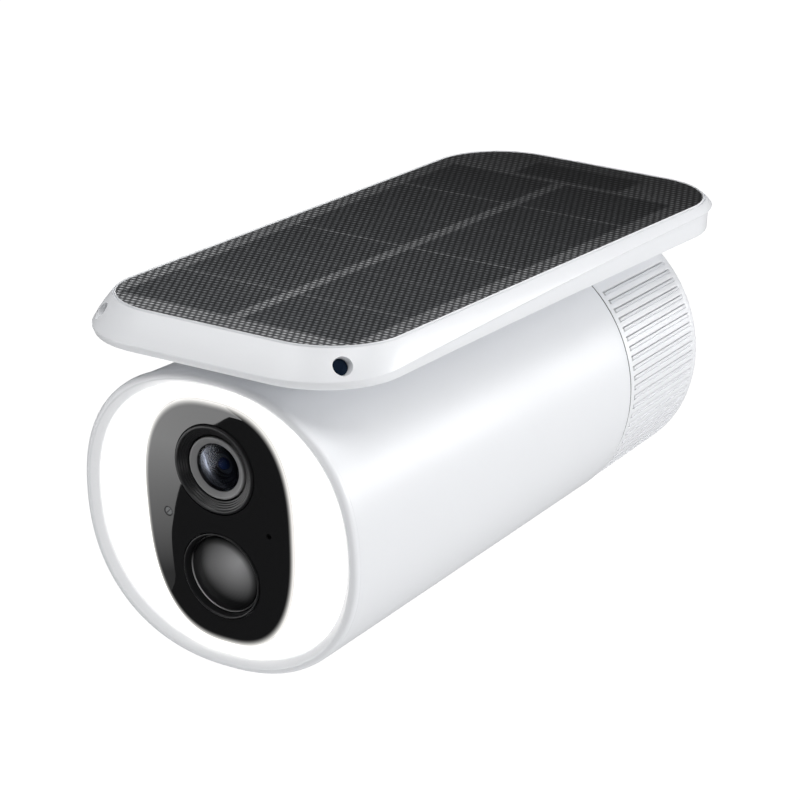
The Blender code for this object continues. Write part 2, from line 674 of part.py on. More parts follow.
def build_motion_sensor(face):
    """The motion sensor: its seat, its hollow dome, and the detector's metal can behind."""
    place = (0.0, SENSOR_Z)
    seat = turned(metres(SEAT_PROFILE), centre=place, closed=True)
    add_piece("motion_sensor_seat", seat, satin_black(), face)
    inner_radius = DOME_RADIUS - DOME_WALL
    outer = dome(DOME_RADIUS, DOME_RISE, DOME_RIM_DEPTH)
    inner = dome(inner_radius, DOME_INNER_RISE, DOME_INNER_RIM_DEPTH)
    skirt = [(DOME_RADIUS, DOME_SKIRT_DEPTH), (inner_radius, DOME_SKIRT_DEPTH)]
    add_piece("motion_sensor_dome", turned(outer + skirt + inner[::-1], centre=place), gloss_black(), face)
    add_piece("motion_sensor_can", turned(metres(SENSOR_CAN_PROFILE), SMALL_SIDES, place), steel(), face)


def build_led_board(face):
    """Ring-shaped board behind the diffuser, with its white lights spread evenly along it."""
    front, rear = [depth * MM for depth in LED_BOARD_DEPTHS]
    inset, grow = LED_BOARD_INSET * MM, LED_BOARD_GROWTH * MM
    rings = [rim_ring(inset, front), rim_ring(inset, rear), cover_ring(grow, rear), cover_ring(grow, front)]
    board = add_piece("led_board", skin(rings, closed=True), white_board(), face)
    lights = bmesh.new()
    for x, depth, z in halfway(rim_ring(inset, LED_DEPTH), cover_ring(grow, LED_DEPTH))[::LED_EVERY]:
        size = Matrix.Diagonal((LED_SIZE, LED_HEIGHT, LED_SIZE, 1.0))
        bmesh.ops.create_cube(lights, size=1.0, matrix=Matrix.Translation((x, depth, z)) @ size)
    join(board, "led_chips", lights)


def build_face_electronics(face):
    """The status light's guide, the microphone, the light board and the chassis that holds them."""
    guide = turned(metres(STATUS_GUIDE_PROFILE), SMALL_SIDES, (-SIDE_PORT_X, SIDE_PORT_Z))
    add_piece("status_light_guide", guide, clear_guide(), face)
    capsule = turned(metres(MICROPHONE_PROFILE), SMALL_SIDES, (SIDE_PORT_X, SIDE_PORT_Z))
    add_piece("microphone_capsule", capsule, steel(), face)
    build_led_board(face)
    front, rear = [depth * MM for depth in CHASSIS_DEPTHS]
    plate = skin([rim_ring(CHASSIS_INSET * MM, front), rim_ring(CHASSIS_INSET * MM, rear)])
    chassis = add_piece("front_chassis", plate, grey_plastic(), face)
    cut(chassis, "chassis_lens_cutter", rod(CHASSIS_LENS_BORE, front - MM, rear + MM, centre=(0.0, LENS_Z)))
    cut(chassis, "chassis_sensor_cutter",
        rod(CHASSIS_SENSOR_BORE, front - MM, rear + MM, SMALL_SIDES, (0.0, SENSOR_Z)))


# ---------------------------------------------------------------- inside the barrel

def build_internals():
    """Main board, antenna, battery cells in their tray, and the speaker."""
    board = add_piece("main_board", box(MAIN_BOARD_BOX), circuit_green())
    join(board, "main_board_chips", box(MAIN_CHIPS_BOX))
    add_piece("antenna_strip", box(ANTENNA_BOX), brass())
    for name, x in (("battery_cell_left", -BATTERY_X), ("battery_cell_right", BATTERY_X)):
        add_piece(name, turned(metres(BATTERY_PROFILE), CELL_SIDES, (x, BATTERY_Z)), cell_wrap())
    tray = add_piece("battery_tray", box(TRAY_BOX), grey_plastic())
    cut(tray, "tray_hollow_cutter", box(TRAY_HOLLOW_BOX))
    speaker = add_piece("speaker", turned(metres(SPEAKER_PROFILE), CELL_SIDES), satin_black(),
                        location=(0.0, SPEAKER_Y, SPEAKER_Z))
    speaker.rotation_euler = (math.pi / 2.0, 0.0, 0.0)


def build_sync_button(switch_z):
    """The rubber button under the barrel; its stem ends a little below the switch."""
    low_z = barrel_bottom_z(BUTTON_Y) - BUTTON_PROUD
    profile = [(radius, low_z + rise) for radius, rise in metres(BUTTON_PROFILE)]
    profile.append((BUTTON_STEM_RADIUS, switch_z - BUTTON_TRAVEL_ROOM))
    turns = [2.0 * math.pi * step / SMALL_SIDES for step in range(SMALL_SIDES)]
    rings = []
    for radius, z in profile:
        rings.append([(radius * math.cos(turn), radius * math.sin(turn), z) for turn in turns])
    add_piece("sync_button", skin(rings), rubber(), location=(0.0, BUTTON_Y, 0.0))


def build_port():
    """Charging socket on its board, the sync switch, its button and the rubber port cover."""
    middle_y = (PORT_FRONT_Y + PORT_REAR_Y) / 2.0
    wall_z = barrel_bottom_z(middle_y)
    board_z = wall_z + SERVICE_BOARD_RISE
    switch_z = board_z - SWITCH_HEIGHT
    front_y, rear_y = SERVICE_BOARD_ENDS
    board = add_piece("service_board",
                      block((-SERVICE_BOARD_HALF_WIDTH, front_y, board_z),
                            (SERVICE_BOARD_HALF_WIDTH, rear_y, board_z + BOARD_THICKNESS)), circuit_green())
    join(board, "sync_switch_block",
         block((-SWITCH_HALF_WIDTH, BUTTON_Y - SWITCH_HALF_WIDTH, switch_z),
               (SWITCH_HALF_WIDTH, BUTTON_Y + SWITCH_HALF_WIDTH, board_z + BOARD_THICKNESS / 2.0)))
    socket = add_piece("charging_socket",
                       block((-SOCKET_HALF_WIDTH, middle_y - SOCKET_HALF_LENGTH, wall_z + SOCKET_RISE),
                             (SOCKET_HALF_WIDTH, middle_y + SOCKET_HALF_LENGTH, board_z - GAP)), steel())
    mouth_x, mouth_y = SOCKET_HALF_WIDTH - SOCKET_WALL, SOCKET_HALF_LENGTH - SOCKET_WALL
    roof_z = board_z - GAP - SOCKET_ROOF
    cut(socket, "socket_mouth_cutter",
        block((-mouth_x, middle_y - mouth_y, wall_z), (mouth_x, middle_y + mouth_y, roof_z)))
    build_sync_button(switch_z)

    half_width = PORT_HALF_WIDTH - GAP
    cover = add_piece("port_cover", block((-half_width, PORT_FRONT_Y + 2.0 * GAP, wall_z - CUT_REACH),
                                          (half_width, PORT_REAR_Y - GAP, wall_z + CUT_REACH)), rubber())
    front_share, rear_share = barrel_share(PORT_FRONT_Y - CUT_REACH), barrel_share(PORT_REAR_Y + CUT_REACH)
    tube = barrel_tube(*PORT_COVER_INSETS, front_share, rear_share)
    combine(cover, "port_cover_skin", skin(tube, closed=True), "INTERSECT")


# ---------------------------------------------------------------- tilt ring and drive

def ring_outline(radius, rise, groove):
    """Section (x, z) of the tilt ring: a circle with grooves below the neck, and the neck's flat top."""
    points = []
    start, stop = 180.0 - NECK_EDGE_ANGLE, 360.0 + NECK_EDGE_ANGLE
    grooves = int((stop - start) / GROOVE_PITCH)
    first = (start + stop - grooves * GROOVE_PITCH) / 2.0
    half = GROOVE_PITCH * GROOVE_SHARE / 2.0
    wall = ((-half - GROOVE_FLANK, 0.0), (-half + GROOVE_FLANK, groove),
            (half - GROOVE_FLANK, groove), (half + GROOVE_FLANK, 0.0))
    for index in range(grooves):
        middle = first + (index + 0.5) * GROOVE_PITCH
        for offset, depth in wall:
            turn = math.radians(middle + offset)
            points.append(((radius - depth) * math.cos(turn), rise + (radius - depth) * math.sin(turn)))
    edge = math.radians(NECK_EDGE_ANGLE)
    shoulder = Vector((radius * math.cos(edge), rise + radius * math.sin(edge)))
    top = Vector((NECK_HALF_WIDTH, NECK_TOP_Z))
    bend = Vector((mix(shoulder.x, top.x, 0.8), mix(shoulder.y, top.y, 0.4)))
    side = [tuple(shoulder), tuple(bend), tuple(top)]
    points += side
    points += [(NECK_HALF_WIDTH * share, NECK_TOP_Z) for share in (0.5, 0.0, -0.5)]
    points += [(-x, z) for x, z in reversed(side)]
    return points


def build_tilt_ring(panel):
    """The ring that the panel stands on, its cable and screw holes, and the hub inside it."""
    stations = [(RING_FRONT_CHAMFER, 0.0, RING_FRONT_Y), (0.0, 0.0, GROOVE_FRONT_Y),
                (0.0, GROOVE_DEPTH, GROOVE_FRONT_Y + GROOVE_WALL_RUN), (0.0, GROOVE_DEPTH, GROOVE_REAR_Y),
                (0.0, 0.0, RING_ROUND_Y), (RING_REAR_ROUND, 0.0, RING_REAR_Y)]
    rings = []
    for inset, groove, y in stations:
        share = (y - RING_FRONT_Y) / (RING_REAR_Y - RING_FRONT_Y)
        radius = mix(RING_FRONT_RADIUS, RING_REAR_RADIUS, share) - inset
        outline = ring_outline(radius, RING_REAR_RISE * share, groove)
        rings.append([(x, y, z) for x, z in outline])
    ring = add_piece("tilt_ring", skin(rings), white_shell(), panel, sharp=25.0)
    cut(ring, "ring_bore_cutter", rod(RING_INNER_RADIUS, RING_FRONT_Y - MM, RING_REAR_Y + MM, HUB_SIDES))
    cut(ring, "neck_cable_cutter",
        post(CABLE_HOLE_RADIUS, 0.0, CABLE_HOLE_Y, RING_INNER_RADIUS - 2.0 * MM, PANEL_TOP_Z))
    for index, (x, y) in enumerate(panel_screw_places()):
        cut(ring, f"neck_screw_cutter_{index + 1}",
            post(SCREW_HOLE_RADIUS, x, y, PANEL_SCREW_HOLE_Z, PANEL_TOP_Z, SCREW_HOLE_SIDES))

    rim_radius = RING_INNER_RADIUS - GAP
    hub = [(HUB_BORE, RING_REAR_Y), (rim_radius, RING_REAR_Y), (rim_radius, HUB_DISC_Y),
           (HUB_RADIUS, HUB_DISC_Y), (HUB_RADIUS, HUB_FRONT_Y), (HUB_BORE, HUB_FRONT_Y)]
    add_piece("tilt_hub", turned(hub, HUB_SIDES, closed=True), grey_plastic(), panel)


def tooth_outline(teeth, root, tip, first_tooth, count):
    """Points of trapezoid teeth on a circle, from the root radius to the tip radius and back."""
    points = []
    step = 2.0 * math.pi / teeth
    half_tooth = 0.25 * step * TOOTH_SHARE
    flanks = ((-TOOTH_ROOT_HALF, root), (-TOOTH_TIP_HALF, tip),
              (TOOTH_TIP_HALF, tip), (TOOTH_ROOT_HALF, root))
    for index in range(count):
        middle = first_tooth + index * step
        for offset, radius in flanks:
            turn = middle + offset * half_tooth
            points.append((radius * math.cos(turn), radius * math.sin(turn)))
    return points


def gear_slab(outline):
    """A flat toothed piece between the two faces of the gears."""
    return skin([[(x, y, z) for x, z in outline] for y in (GEAR_FRONT_Y, GEAR_REAR_Y)])


def build_gears(panel):
    """The toothed sector fixed in the ring, and the motor's pinion in mesh with it at the bottom."""
    pitch_radius = 0.5 * SECTOR_TEETH * MODULE
    step = 2.0 * math.pi / SECTOR_TEETH
    first_tooth = -0.5 * math.pi - 0.5 * (SECTOR_SPAN_TEETH - 2) * step
    teeth = tooth_outline(SECTOR_TEETH, pitch_radius + DEDENDUM, pitch_radius - ADDENDUM, first_tooth,
                          SECTOR_SPAN_TEETH - 1)
    outer_radius = RING_INNER_RADIUS - GAP
    bearings = [math.atan2(z, x) for x, z in teeth]
    outer = [(outer_radius * math.cos(turn), outer_radius * math.sin(turn)) for turn in reversed(bearings)]
    add_piece("gear_sector", gear_slab(teeth + outer), acetal(), panel)

    pinion_axis = frame_empty("pinion_axis", (0.0, 0.0, PINION_Z))
    pinion_pitch = 0.5 * PINION_TEETH * MODULE
    teeth = tooth_outline(PINION_TEETH, pinion_pitch - DEDENDUM, pinion_pitch + ADDENDUM, -0.5 * math.pi,
                          PINION_TEETH)
    pinion = add_piece("motor_pinion", gear_slab(teeth), acetal(), pinion_axis)
    shaft_end_y = mix(GEAR_FRONT_Y, GEAR_REAR_Y, 0.5)
    join(pinion, "pinion_shaft", rod(SHAFT_RADIUS, SHAFT_FRONT_Y, shaft_end_y, SMALL_SIDES))
    motor = rod(MOTOR_RADIUS, MOTOR_FRONT_Y, MOTOR_REAR_Y, centre=(0.0, PINION_Z))
    add_piece("tilt_motor", motor, steel())


def build_spindle():
    """The bulkhead that closes the barrel, its hollow spindle that the hub turns on, and two bushes."""
    flange_radius = REAR_RADIUS - BARREL_WALL - FLANGE_CLEARANCE
    profile = [(SPINDLE_BORE, FLANGE_FRONT_Y), (flange_radius, FLANGE_FRONT_Y),
               (flange_radius, FLANGE_REAR_Y), (SPINDLE_RADIUS, FLANGE_REAR_Y),
               (SPINDLE_RADIUS, RING_REAR_Y), (SPINDLE_BORE, RING_REAR_Y)]
    bulkhead = add_piece("rear_bulkhead", turned(profile, HUB_SIDES, closed=True), grey_plastic())
    cut(bulkhead, "pinion_shaft_cutter", rod(SHAFT_RADIUS + SHAFT_CLEARANCE, FLANGE_FRONT_Y - MM,
                                             FLANGE_REAR_Y + MM, SMALL_SIDES, (0.0, PINION_Z)))
    inner, outer = SPINDLE_RADIUS + GAP, HUB_BORE - GAP
    for name, y in (("front_bush", HUB_FRONT_Y), ("rear_bush", RING_REAR_Y - BUSH_LENGTH)):
        bush = [(inner, y), (outer, y), (outer, y + BUSH_LENGTH), (inner, y + BUSH_LENGTH)]
        add_piece(name, turned(bush, HUB_SIDES, closed=True), acetal())
    return bulkhead


def cap_screw_places():
    """Places (x, z) of the three screws that hold the rear cap to the spindle's wall."""
    turns = [math.radians(CAP_SCREW_START + 120.0 * index) for index in range(3)]
    return [(CAP_SCREW_CIRCLE * math.cos(turn), CAP_SCREW_CIRCLE * math.sin(turn)) for turn in turns]


def build_rear_cap(bulkhead):
    """The round cap on the spindle's end, its three screws, and the threaded insert of the wall mount."""
    profile = [(SPINDLE_BORE - GAP, CAP_PLUG_Y), (SPINDLE_BORE - GAP, CAP_FRONT_Y), (CAP_RADIUS, CAP_FRONT_Y)]
    cap = add_piece("rear_cap", turned(profile + metres(CAP_EDGE_PROFILE), HUB_SIDES), white_shell())
    cut(cap, "insert_pocket_cutter", rod(INSERT_RADIUS + GAP, POCKET_FRONT_Y, MM))
    for index, place in enumerate(cap_screw_places()):
        number = index + 1
        cut(cap, f"cap_screw_hole_cutter_{number}",
            rod(SCREW_HOLE_RADIUS, CAP_FRONT_Y - MM, MM, SCREW_HOLE_SIDES, place))
        cut(cap, f"cap_screw_head_cutter_{number}",
            rod(HEAD_HOLE_RADIUS, HEAD_HOLE_FRONT_Y, MM, SMALL_SIDES, place))
        cut(bulkhead, f"spindle_screw_cutter_{number}",
            rod(SCREW_HOLE_RADIUS, CAP_SCREW_HOLE_FRONT_Y, RING_REAR_Y + MM, SCREW_HOLE_SIDES, place))
        shape = turned(metres(CAP_SCREW_PROFILE), SCREW_SIDES, place)
        screw = add_piece(f"cap_screw_{number}", shape, steel())
        cut(screw, f"cap_screw_socket_cutter_{number}",
            rod(SCREW_SOCKET_RADIUS, SCREW_SOCKET_Y, 0.0, HEXAGON, place))
    insert = [(THREAD_RADIUS, -INSERT_LENGTH), (INSERT_RADIUS, -INSERT_LENGTH), (INSERT_RADIUS, -INSERT_SINK),
              (THREAD_RADIUS + INSERT_LEAD_IN, -INSERT_SINK), (THREAD_RADIUS, -INSERT_SINK - INSERT_LEAD_IN)]
    add_piece("mount_insert", turned(insert, ROUND_SIDES, closed=True), brass())


# ---------------------------------------------------------------- solar panel

def panel_screw_places():
    """Places (x, y) of the four screws through the back cover into the ring's neck."""
    return [(x, y) for x in (-PANEL_SCREW_X, PANEL_SCREW_X) for y in PANEL_SCREW_YS]


def eye_place(eye, side, centre_y):
    """Position and outward direction of an eye on one of the frame's rounded corners."""
    turn, rise = math.radians(eye["bearing"]), math.radians(eye["slope"])
    reach = GLASS_CORNER + eye["spread"] * MM
    spot = Vector((side * (GLASS_HALF_WIDTH - GLASS_CORNER + reach * math.cos(turn)),
                   centre_y + reach * math.sin(turn), PANEL_TOP_Z - eye["below_top"] * MM))
    facing = Vector((side * math.cos(turn) * math.cos(rise), math.sin(turn) * math.cos(rise), math.sin(rise)))
    return spot, facing


def along(facing, spot, profile, sides):
    """A turned solid from (radius, distance along facing) points, placed at a spot."""
    turn = facing.to_track_quat("Z", "Y").to_matrix()
    rays = [2.0 * math.pi * step / sides for step in range(sides)]
    rings = []
    for radius, reach in profile:
        ring = [Vector((radius * math.cos(ray), radius * math.sin(ray), reach)) for ray in rays]
        rings.append([spot + turn @ point for point in ring])
    return skin(rings)


def build_eye(panel, frame, name, eye, side, centre_y):
    """Cut an eye's recess from the frame, and set its dark disc in the recess."""
    spot, facing = eye_place(eye, side, centre_y)
    radius, depth, sink = eye["radius"] * MM, eye["depth"] * MM, eye["sink"] * MM
    recess = [(radius, -depth), (radius, CUT_REACH)]
    cut(frame, f"eye_recess_cutter_{name}", along(facing, spot, recess, EYE_SIDES))
    disc = [(radius - EYE_CLEARANCE, GAP - depth), (radius - EYE_CLEARANCE, -sink)]
    add_piece(f"light_sensor_{name}", along(facing, spot, disc, EYE_SIDES), eye_glass(), panel)


def build_frame(panel):
    """The panel's rounded frame, with a crease that rises to the rear, and an eye at each corner."""
    rings = [
        panel_ring(GLASS_CLEARANCE, 0.0),
        panel_ring(FRAME_TOP_MARGINS[0] * MM - GLASS_CLEARANCE, 0.0),
        frame_ring(FRAME_TOP_MARGINS, lambda y: PANEL_TOP_Z - FRAME_TOP_ROUND),
        frame_ring(FRAME_SHOULDER_MARGINS, lambda y: mix(PANEL_TOP_Z, crease_z(y), SHOULDER_SHARE)),
        frame_ring(FRAME_CREASE_MARGINS, crease_z),
        frame_ring(FRAME_LIP_MARGINS, lambda y: crease_z(y) - CREASE_LIP),
        frame_ring(FRAME_LOWER_MARGINS, lambda y: PANEL_BOTTOM_Z + FRAME_TOP_ROUND),
        frame_ring(FRAME_BOTTOM_MARGINS, lambda y: PANEL_BOTTOM_Z),
        panel_ring(-FRAME_LEDGE, PANEL_DEPTH),
        panel_ring(-FRAME_LEDGE, GLASS_POCKET_DEPTH),
        panel_ring(GLASS_CLEARANCE, GLASS_POCKET_DEPTH),
    ]
    frame = add_piece("panel_frame", skin(rings, closed=True), white_shell(), panel, sharp=20.0)
    for side, side_name in ((1.0, "right"), (-1.0, "left")):
        build_eye(panel, frame, f"front_{side_name}", FRONT_EYE, side, GLASS_FRONT_Y + GLASS_CORNER)
        build_eye(panel, frame, f"rear_{side_name}", REAR_EYE, side, GLASS_REAR_Y - GLASS_CORNER)


def cell_string(side):
    """Six thin cells in a row along one side of the panel."""
    top = PANEL_TOP_Z - CELL_TOP_DEPTH
    low_x, high_x = sorted((side * CELL_INNER_X, side * CELL_OUTER_X))
    cells = bmesh.new()
    for row in range(CELL_ROWS):
        front = CELL_FIRST_Y + row * CELL_PITCH
        part = block((low_x, front, top - CELL_THICKNESS), (high_x, front + CELL_LENGTH, top))
        mesh = bpy.data.meshes.new("cell")
        part.to_mesh(mesh)
        part.free()
        cells.from_mesh(mesh)
        bpy.data.meshes.remove(mesh)
    return cells


def build_cells(panel):
    """Two strings of cells, each soldered together by two flat ribbons beneath it."""
    last_y = CELL_FIRST_Y + (CELL_ROWS - 1) * CELL_PITCH + CELL_LENGTH
    for name, side in (("cell_string_left", -1.0), ("cell_string_right", 1.0)):
        string = add_piece(name, cell_string(side), solar_cell(), panel)
        for index, share in enumerate(RIBBON_SHARES):
            x = side * mix(CELL_INNER_X, CELL_OUTER_X, share)
            low = (x - RIBBON_HALF_WIDTH, CELL_FIRST_Y + RIBBON_INSET, PANEL_TOP_Z - RIBBON_BOTTOM_DEPTH)
            high = (x + RIBBON_HALF_WIDTH, last_y - RIBBON_INSET, PANEL_TOP_Z - RIBBON_TOP_DEPTH)
            join(string, f"{name}_ribbon_{index + 1}", block(low, high))


def build_back_cover(panel):
    """The cover under the panel, with its cable hole and the four screws into the ring's neck."""
    inset = -FRAME_LEDGE - GAP
    inside_z = PANEL_BOTTOM_Z + BACK_COVER_THICKNESS
    plate = skin([panel_ring(inset, PANEL_DEPTH - BACK_COVER_THICKNESS), panel_ring(inset, PANEL_DEPTH)])
    cover = add_piece("panel_back_cover", plate, white_shell(), panel)
    cut(cover, "cover_cable_cutter",
        post(CABLE_HOLE_RADIUS, 0.0, CABLE_HOLE_Y, PANEL_BOTTOM_Z - MM, inside_z + MM))
    head_z = inside_z + GAP
    profile = [(SCREW_SHANK_RADIUS, PANEL_SCREW_END_Z - head_z), (SCREW_SHANK_RADIUS, 0.0),
               (SCREW_HEAD_RADIUS, 0.0), (SCREW_HEAD_RADIUS, SCREW_HEAD_HEIGHT)]
    for index, (x, y) in enumerate(panel_screw_places()):
        cut(cover, f"cover_screw_cutter_{index + 1}",
            post(SCREW_HOLE_RADIUS, x, y, PANEL_BOTTOM_Z - MM, inside_z + MM, SCREW_HOLE_SIDES))
        screw = along(Vector((0.0, 0.0, 1.0)), Vector((x, y, head_z)), profile, SCREW_SIDES)
        add_piece(f"panel_screw_{index + 1}", screw, steel(), panel)


def build_panel(panel):
    """The solar panel: frame, laminate, cells, backsheet, charge board and back cover."""
    build_frame(panel)
    laminate = [panel_ring(0.0, GLASS_TOP_DEPTH), panel_ring(0.0, GLASS_BOTTOM_DEPTH)]
    add_piece("panel_laminate", skin(laminate), solar_laminate(), panel)
    build_cells(panel)
    sheet = [panel_ring(-FRAME_LEDGE - GAP, depth) for depth in BACKSHEET_DEPTHS]
    add_piece("panel_backsheet", skin(sheet), white_board(), panel)
    board = add_piece("charge_board", box(CHARGE_BOARD_BOX), circuit_green(), panel)
    join(board, "charge_board_chips", box(CHARGE_CHIPS_BOX))
    build_back_cover(panel)


def build():
    clear_scene()
    face = frame_empty("face_frame", (0.0, FACE_Y, FACE_Z), (FACE_LEAN, 0.0, 0.0))
    panel = frame_empty("tilt_axis", (0.0, 0.0, 0.0))
    build_barrel()
    build_bezel(face)
    build_diffuser(face)
    build_cover(face)
    build_lens(face)
    build_motion_sensor(face)
    build_face_electronics(face)
    build_internals()
    build_port()
    bulkhead = build_spindle()
    build_tilt_ring(panel)
    build_gears(panel)
    build_rear_cap(bulkhead)
    build_panel(panel)


build()
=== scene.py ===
"""Looks for the solar-powered security camera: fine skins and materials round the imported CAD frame.

Metres, in the CAD's own frame: the origin is the centre of the rear mounting face, the camera looks along
-Y, +Z is up, and the face pieces lie in a plane that leans forward at the top.
"""
import json
import math
from functools import partial

import bmesh
import bpy
from mathutils import Matrix, Vector


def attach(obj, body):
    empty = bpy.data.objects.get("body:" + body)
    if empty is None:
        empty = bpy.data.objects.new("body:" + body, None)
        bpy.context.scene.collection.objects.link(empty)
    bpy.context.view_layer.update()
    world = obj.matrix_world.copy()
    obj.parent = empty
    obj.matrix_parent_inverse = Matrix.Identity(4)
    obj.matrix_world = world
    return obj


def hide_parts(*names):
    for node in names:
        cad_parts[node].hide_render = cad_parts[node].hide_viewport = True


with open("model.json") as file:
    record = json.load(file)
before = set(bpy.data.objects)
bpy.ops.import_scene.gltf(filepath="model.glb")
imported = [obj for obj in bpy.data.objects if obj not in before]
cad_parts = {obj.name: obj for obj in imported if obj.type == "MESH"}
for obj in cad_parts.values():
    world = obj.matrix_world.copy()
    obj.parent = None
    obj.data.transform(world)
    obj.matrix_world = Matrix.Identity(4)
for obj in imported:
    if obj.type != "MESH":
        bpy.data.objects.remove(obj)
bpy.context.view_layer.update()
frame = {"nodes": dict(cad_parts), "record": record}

MM = 0.001
GAP = 0.3 * MM

# The face plane and the outlines of the rim, the black cover and the barrel, as the CAD has them.
FACE_Y = -198.6 * MM
FACE_Z = -4.2 * MM
FACE_LEAN = math.radians(6.2)
FACE_PLACE = Matrix.Translation((0.0, FACE_Y, FACE_Z)) @ Matrix.Rotation(FACE_LEAN, 4, "X")
RIM_HALF = (43.1 * MM, 41.6 * MM)
RIM_POWER = 2.25
REAR_RADIUS = 38.1 * MM
BARREL_REAR_Y = -55.0 * MM
BARREL_LENGTH = BARREL_REAR_Y - FACE_Y
BARREL_WALL = 2.4 * MM
BARREL_FRONT_SHARE = 2.3 * MM / BARREL_LENGTH
COVER_HALF = (23.1 * MM, 34.2 * MM)
COVER_POWER = 2.6
COVER_EGG = 0.04
COVER_CROWN = 0.9 * MM
COVER_ROLL = 0.95
COVER_ROLL_DROP = 0.14 * MM
LENS_Z = 15.6 * MM
SENSOR_Z = -14.7 * MM
SIDE_PORT = (16.0 * MM, 0.25 * MM)
DIFFUSER_SWELL = 0.45 * MM
DOME_RADIUS = 10.4 * MM
DOME_RISE = 3.5 * MM
DOME_EDGE_DEPTH = 2.1 * MM

# Tilt ring: its rear end is smaller, and the centre of that end sits a little higher.
RING_FRONT_RADIUS = 37.9 * MM
RING_REAR_RADIUS = 36.3 * MM
RING_REAR_RISE = 1.8 * MM
RING_BORE = 31.5 * MM
RING_FRONT_Y = -54.4 * MM
RING_ROUND_Y = -16.2 * MM
RING_REAR_Y = -14.0 * MM
RING_REAR_ROUND = 1.5 * MM
# A dark ring in the seam between barrel and tilt ring, standing in for the shade inside the gap: its radii and
# its y, in millimetres.
SEAM_SHADE_RADII = (35.9, 37.88)
SEAM_SHADE_Y = (-54.92, -54.43)
GROOVE_FRONT_Y = -52.5 * MM
GROOVE_REAR_Y = -17.6 * MM
GROOVE_DEPTH = 0.42 * MM
# Degrees round the ring; a groove takes up GROOVE_SHARE of each pitch.
GROOVE_PITCH = 4.36
GROOVE_SHARE = 0.42
NECK_EDGE_ANGLE = 48.4
RING_BOTTOM = 270.0
NECK_HALF_WIDTH = 22.5 * MM

# Solar panel.
GLASS_HALF_WIDTH = 42.0 * MM
GLASS_FRONT_Y = -200.0 * MM
GLASS_REAR_Y = -10.2 * MM
GLASS_CORNER = 21.0 * MM
PANEL_TOP_Z = 50.2 * MM
PANEL_DEPTH = 8.7 * MM
PANEL_BOTTOM_Z = PANEL_TOP_Z - PANEL_DEPTH
CREASE_FRONT_DEPTH = 7.4 * MM
CREASE_REAR_DEPTH = 2.2 * MM
FRAME_LEDGE = 0.8 * MM
LEDGE_DEPTH = 1.1 * MM
# Frame margins round the glass, in millimetres: sides in front, sides at the rear, front, rear, corners.
TOP_MARGINS = (0.95, 0.95, 0.95, 0.95, 0.95)
SHOULDER_MARGINS = (2.45, 1.95, 4.4, 2.15, 2.27)
CREASE_MARGINS = (3.8, 2.8, 7.6, 3.2, 3.4)
SHOULDER_SHARE = 0.46
BEVEL_TOP = 0.3 * MM
BEVEL_STEPS = 10
SKIRT_DROP = 1.1 * MM
# Light sensors: bearing and slope in degrees, the rest in millimetres.
FRONT_EYE = {"bearing": -48.0, "below_top": 4.3, "spread": 3.6, "look": -31.0, "slope": 26.0, "radius": 2.25,
             "mouth": 2.55, "depth": 1.9, "sink": 1.25}
REAR_EYE = {"bearing": 48.0, "below_top": 1.1, "spread": 1.9, "look": 48.0, "slope": 45.0, "radius": 1.3,
            "mouth": 1.4, "depth": 0.7, "sink": 0.15}
EYE_CLEARANCE = 0.12 * MM
NECK_TOP_Z = PANEL_BOTTOM_Z - GAP

# Rear cap and its screws.
CAP_RADIUS = 24.0 * MM
CAP_FRONT_Y = -13.7 * MM
INSERT_RADIUS = 5.0 * MM
INSERT_LENGTH = 9.5 * MM
THREAD_RADIUS = 2.75 * MM
THREAD_PITCH = 1.27 * MM
THREAD_DEPTH = 0.42 * MM
CAP_SCREW_START = 94.0
CAP_SCREW_CIRCLE = 12.0 * MM

# Underside openings.
PORT_Y = (-118.0 * MM, -102.0 * MM)
PORT_HALF_WIDTH = 13.0 * MM
BUTTON_Y = -132.0 * MM
BUTTON_RADIUS = 4.0 * MM
SPEAKER_Y = -160.0 * MM
SPEAKER_PITCH = 3.2 * MM
SPEAKER_HALF_SLOT = 0.6 * MM

SIDES = 192
ROUND_SIDES = 96
CORNER_STEPS = 24

# Looks. Colours are linear; edges are half the width over which a printed or seen border fades.
SHELL = (0.80, 0.812, 0.835)
FLECK_SHARE = 0.12
FLECK_TONE = 0.82
# How far painted shade darkens a colour: the shade painted into the tilt ring's grooves.
PAINTED_SHADE_TONE = 0.3
TARNISH_TONE = 0.72
TOOL_MARK_PITCH = 0.22 * MM
RING_LIGHT = (1.0, 0.985, 0.95)
GLOW_STRENGTH = 1.25
COVER_SPECULAR = 0.5
# A painted glow at the cover's outer edge, standing in for the ring's light: where it starts and ends, and its
# strength.
COVER_GLOW_REACH = (0.948, 1.0)
EDGE_GLOW_STRENGTH = 0.85
DOME_RING_PITCH = 0.8 * MM
# Painted highlight on the dome: its spot beside the axis, its reach, where it fades at the rim, its falloff
# and its colour.
DOME_HIGHLIGHT_X = 6.2 * MM
DOME_HIGHLIGHT_UP = 5.8 * MM
DOME_HIGHLIGHT_RADIUS = 12.5 * MM
DOME_HIGHLIGHT_RIM = 8.6 * MM
DOME_HIGHLIGHT_POWER = 1.2
DOME_HIGHLIGHT_COLOUR = (0.33, 0.33, 0.335)
# Where the painted highlight on the dome's trim begins and reaches full strength, towards its lower left.
TRIM_HIGHLIGHT_REACH = (3.0 * MM, 10.0 * MM)

# Laminate: embossed dots on a staggered lattice, over twelve cells, their lines and a dark patch at the rear.
LATTICE_PITCH = 1.9 * MM
LATTICE_ROW = 1.82 * MM
LATTICE_START = 1000.0
DOT_STRETCH = 2.7
DOT_REACH = (0.1, 0.46)
CELL_EDGE = 0.3 * MM
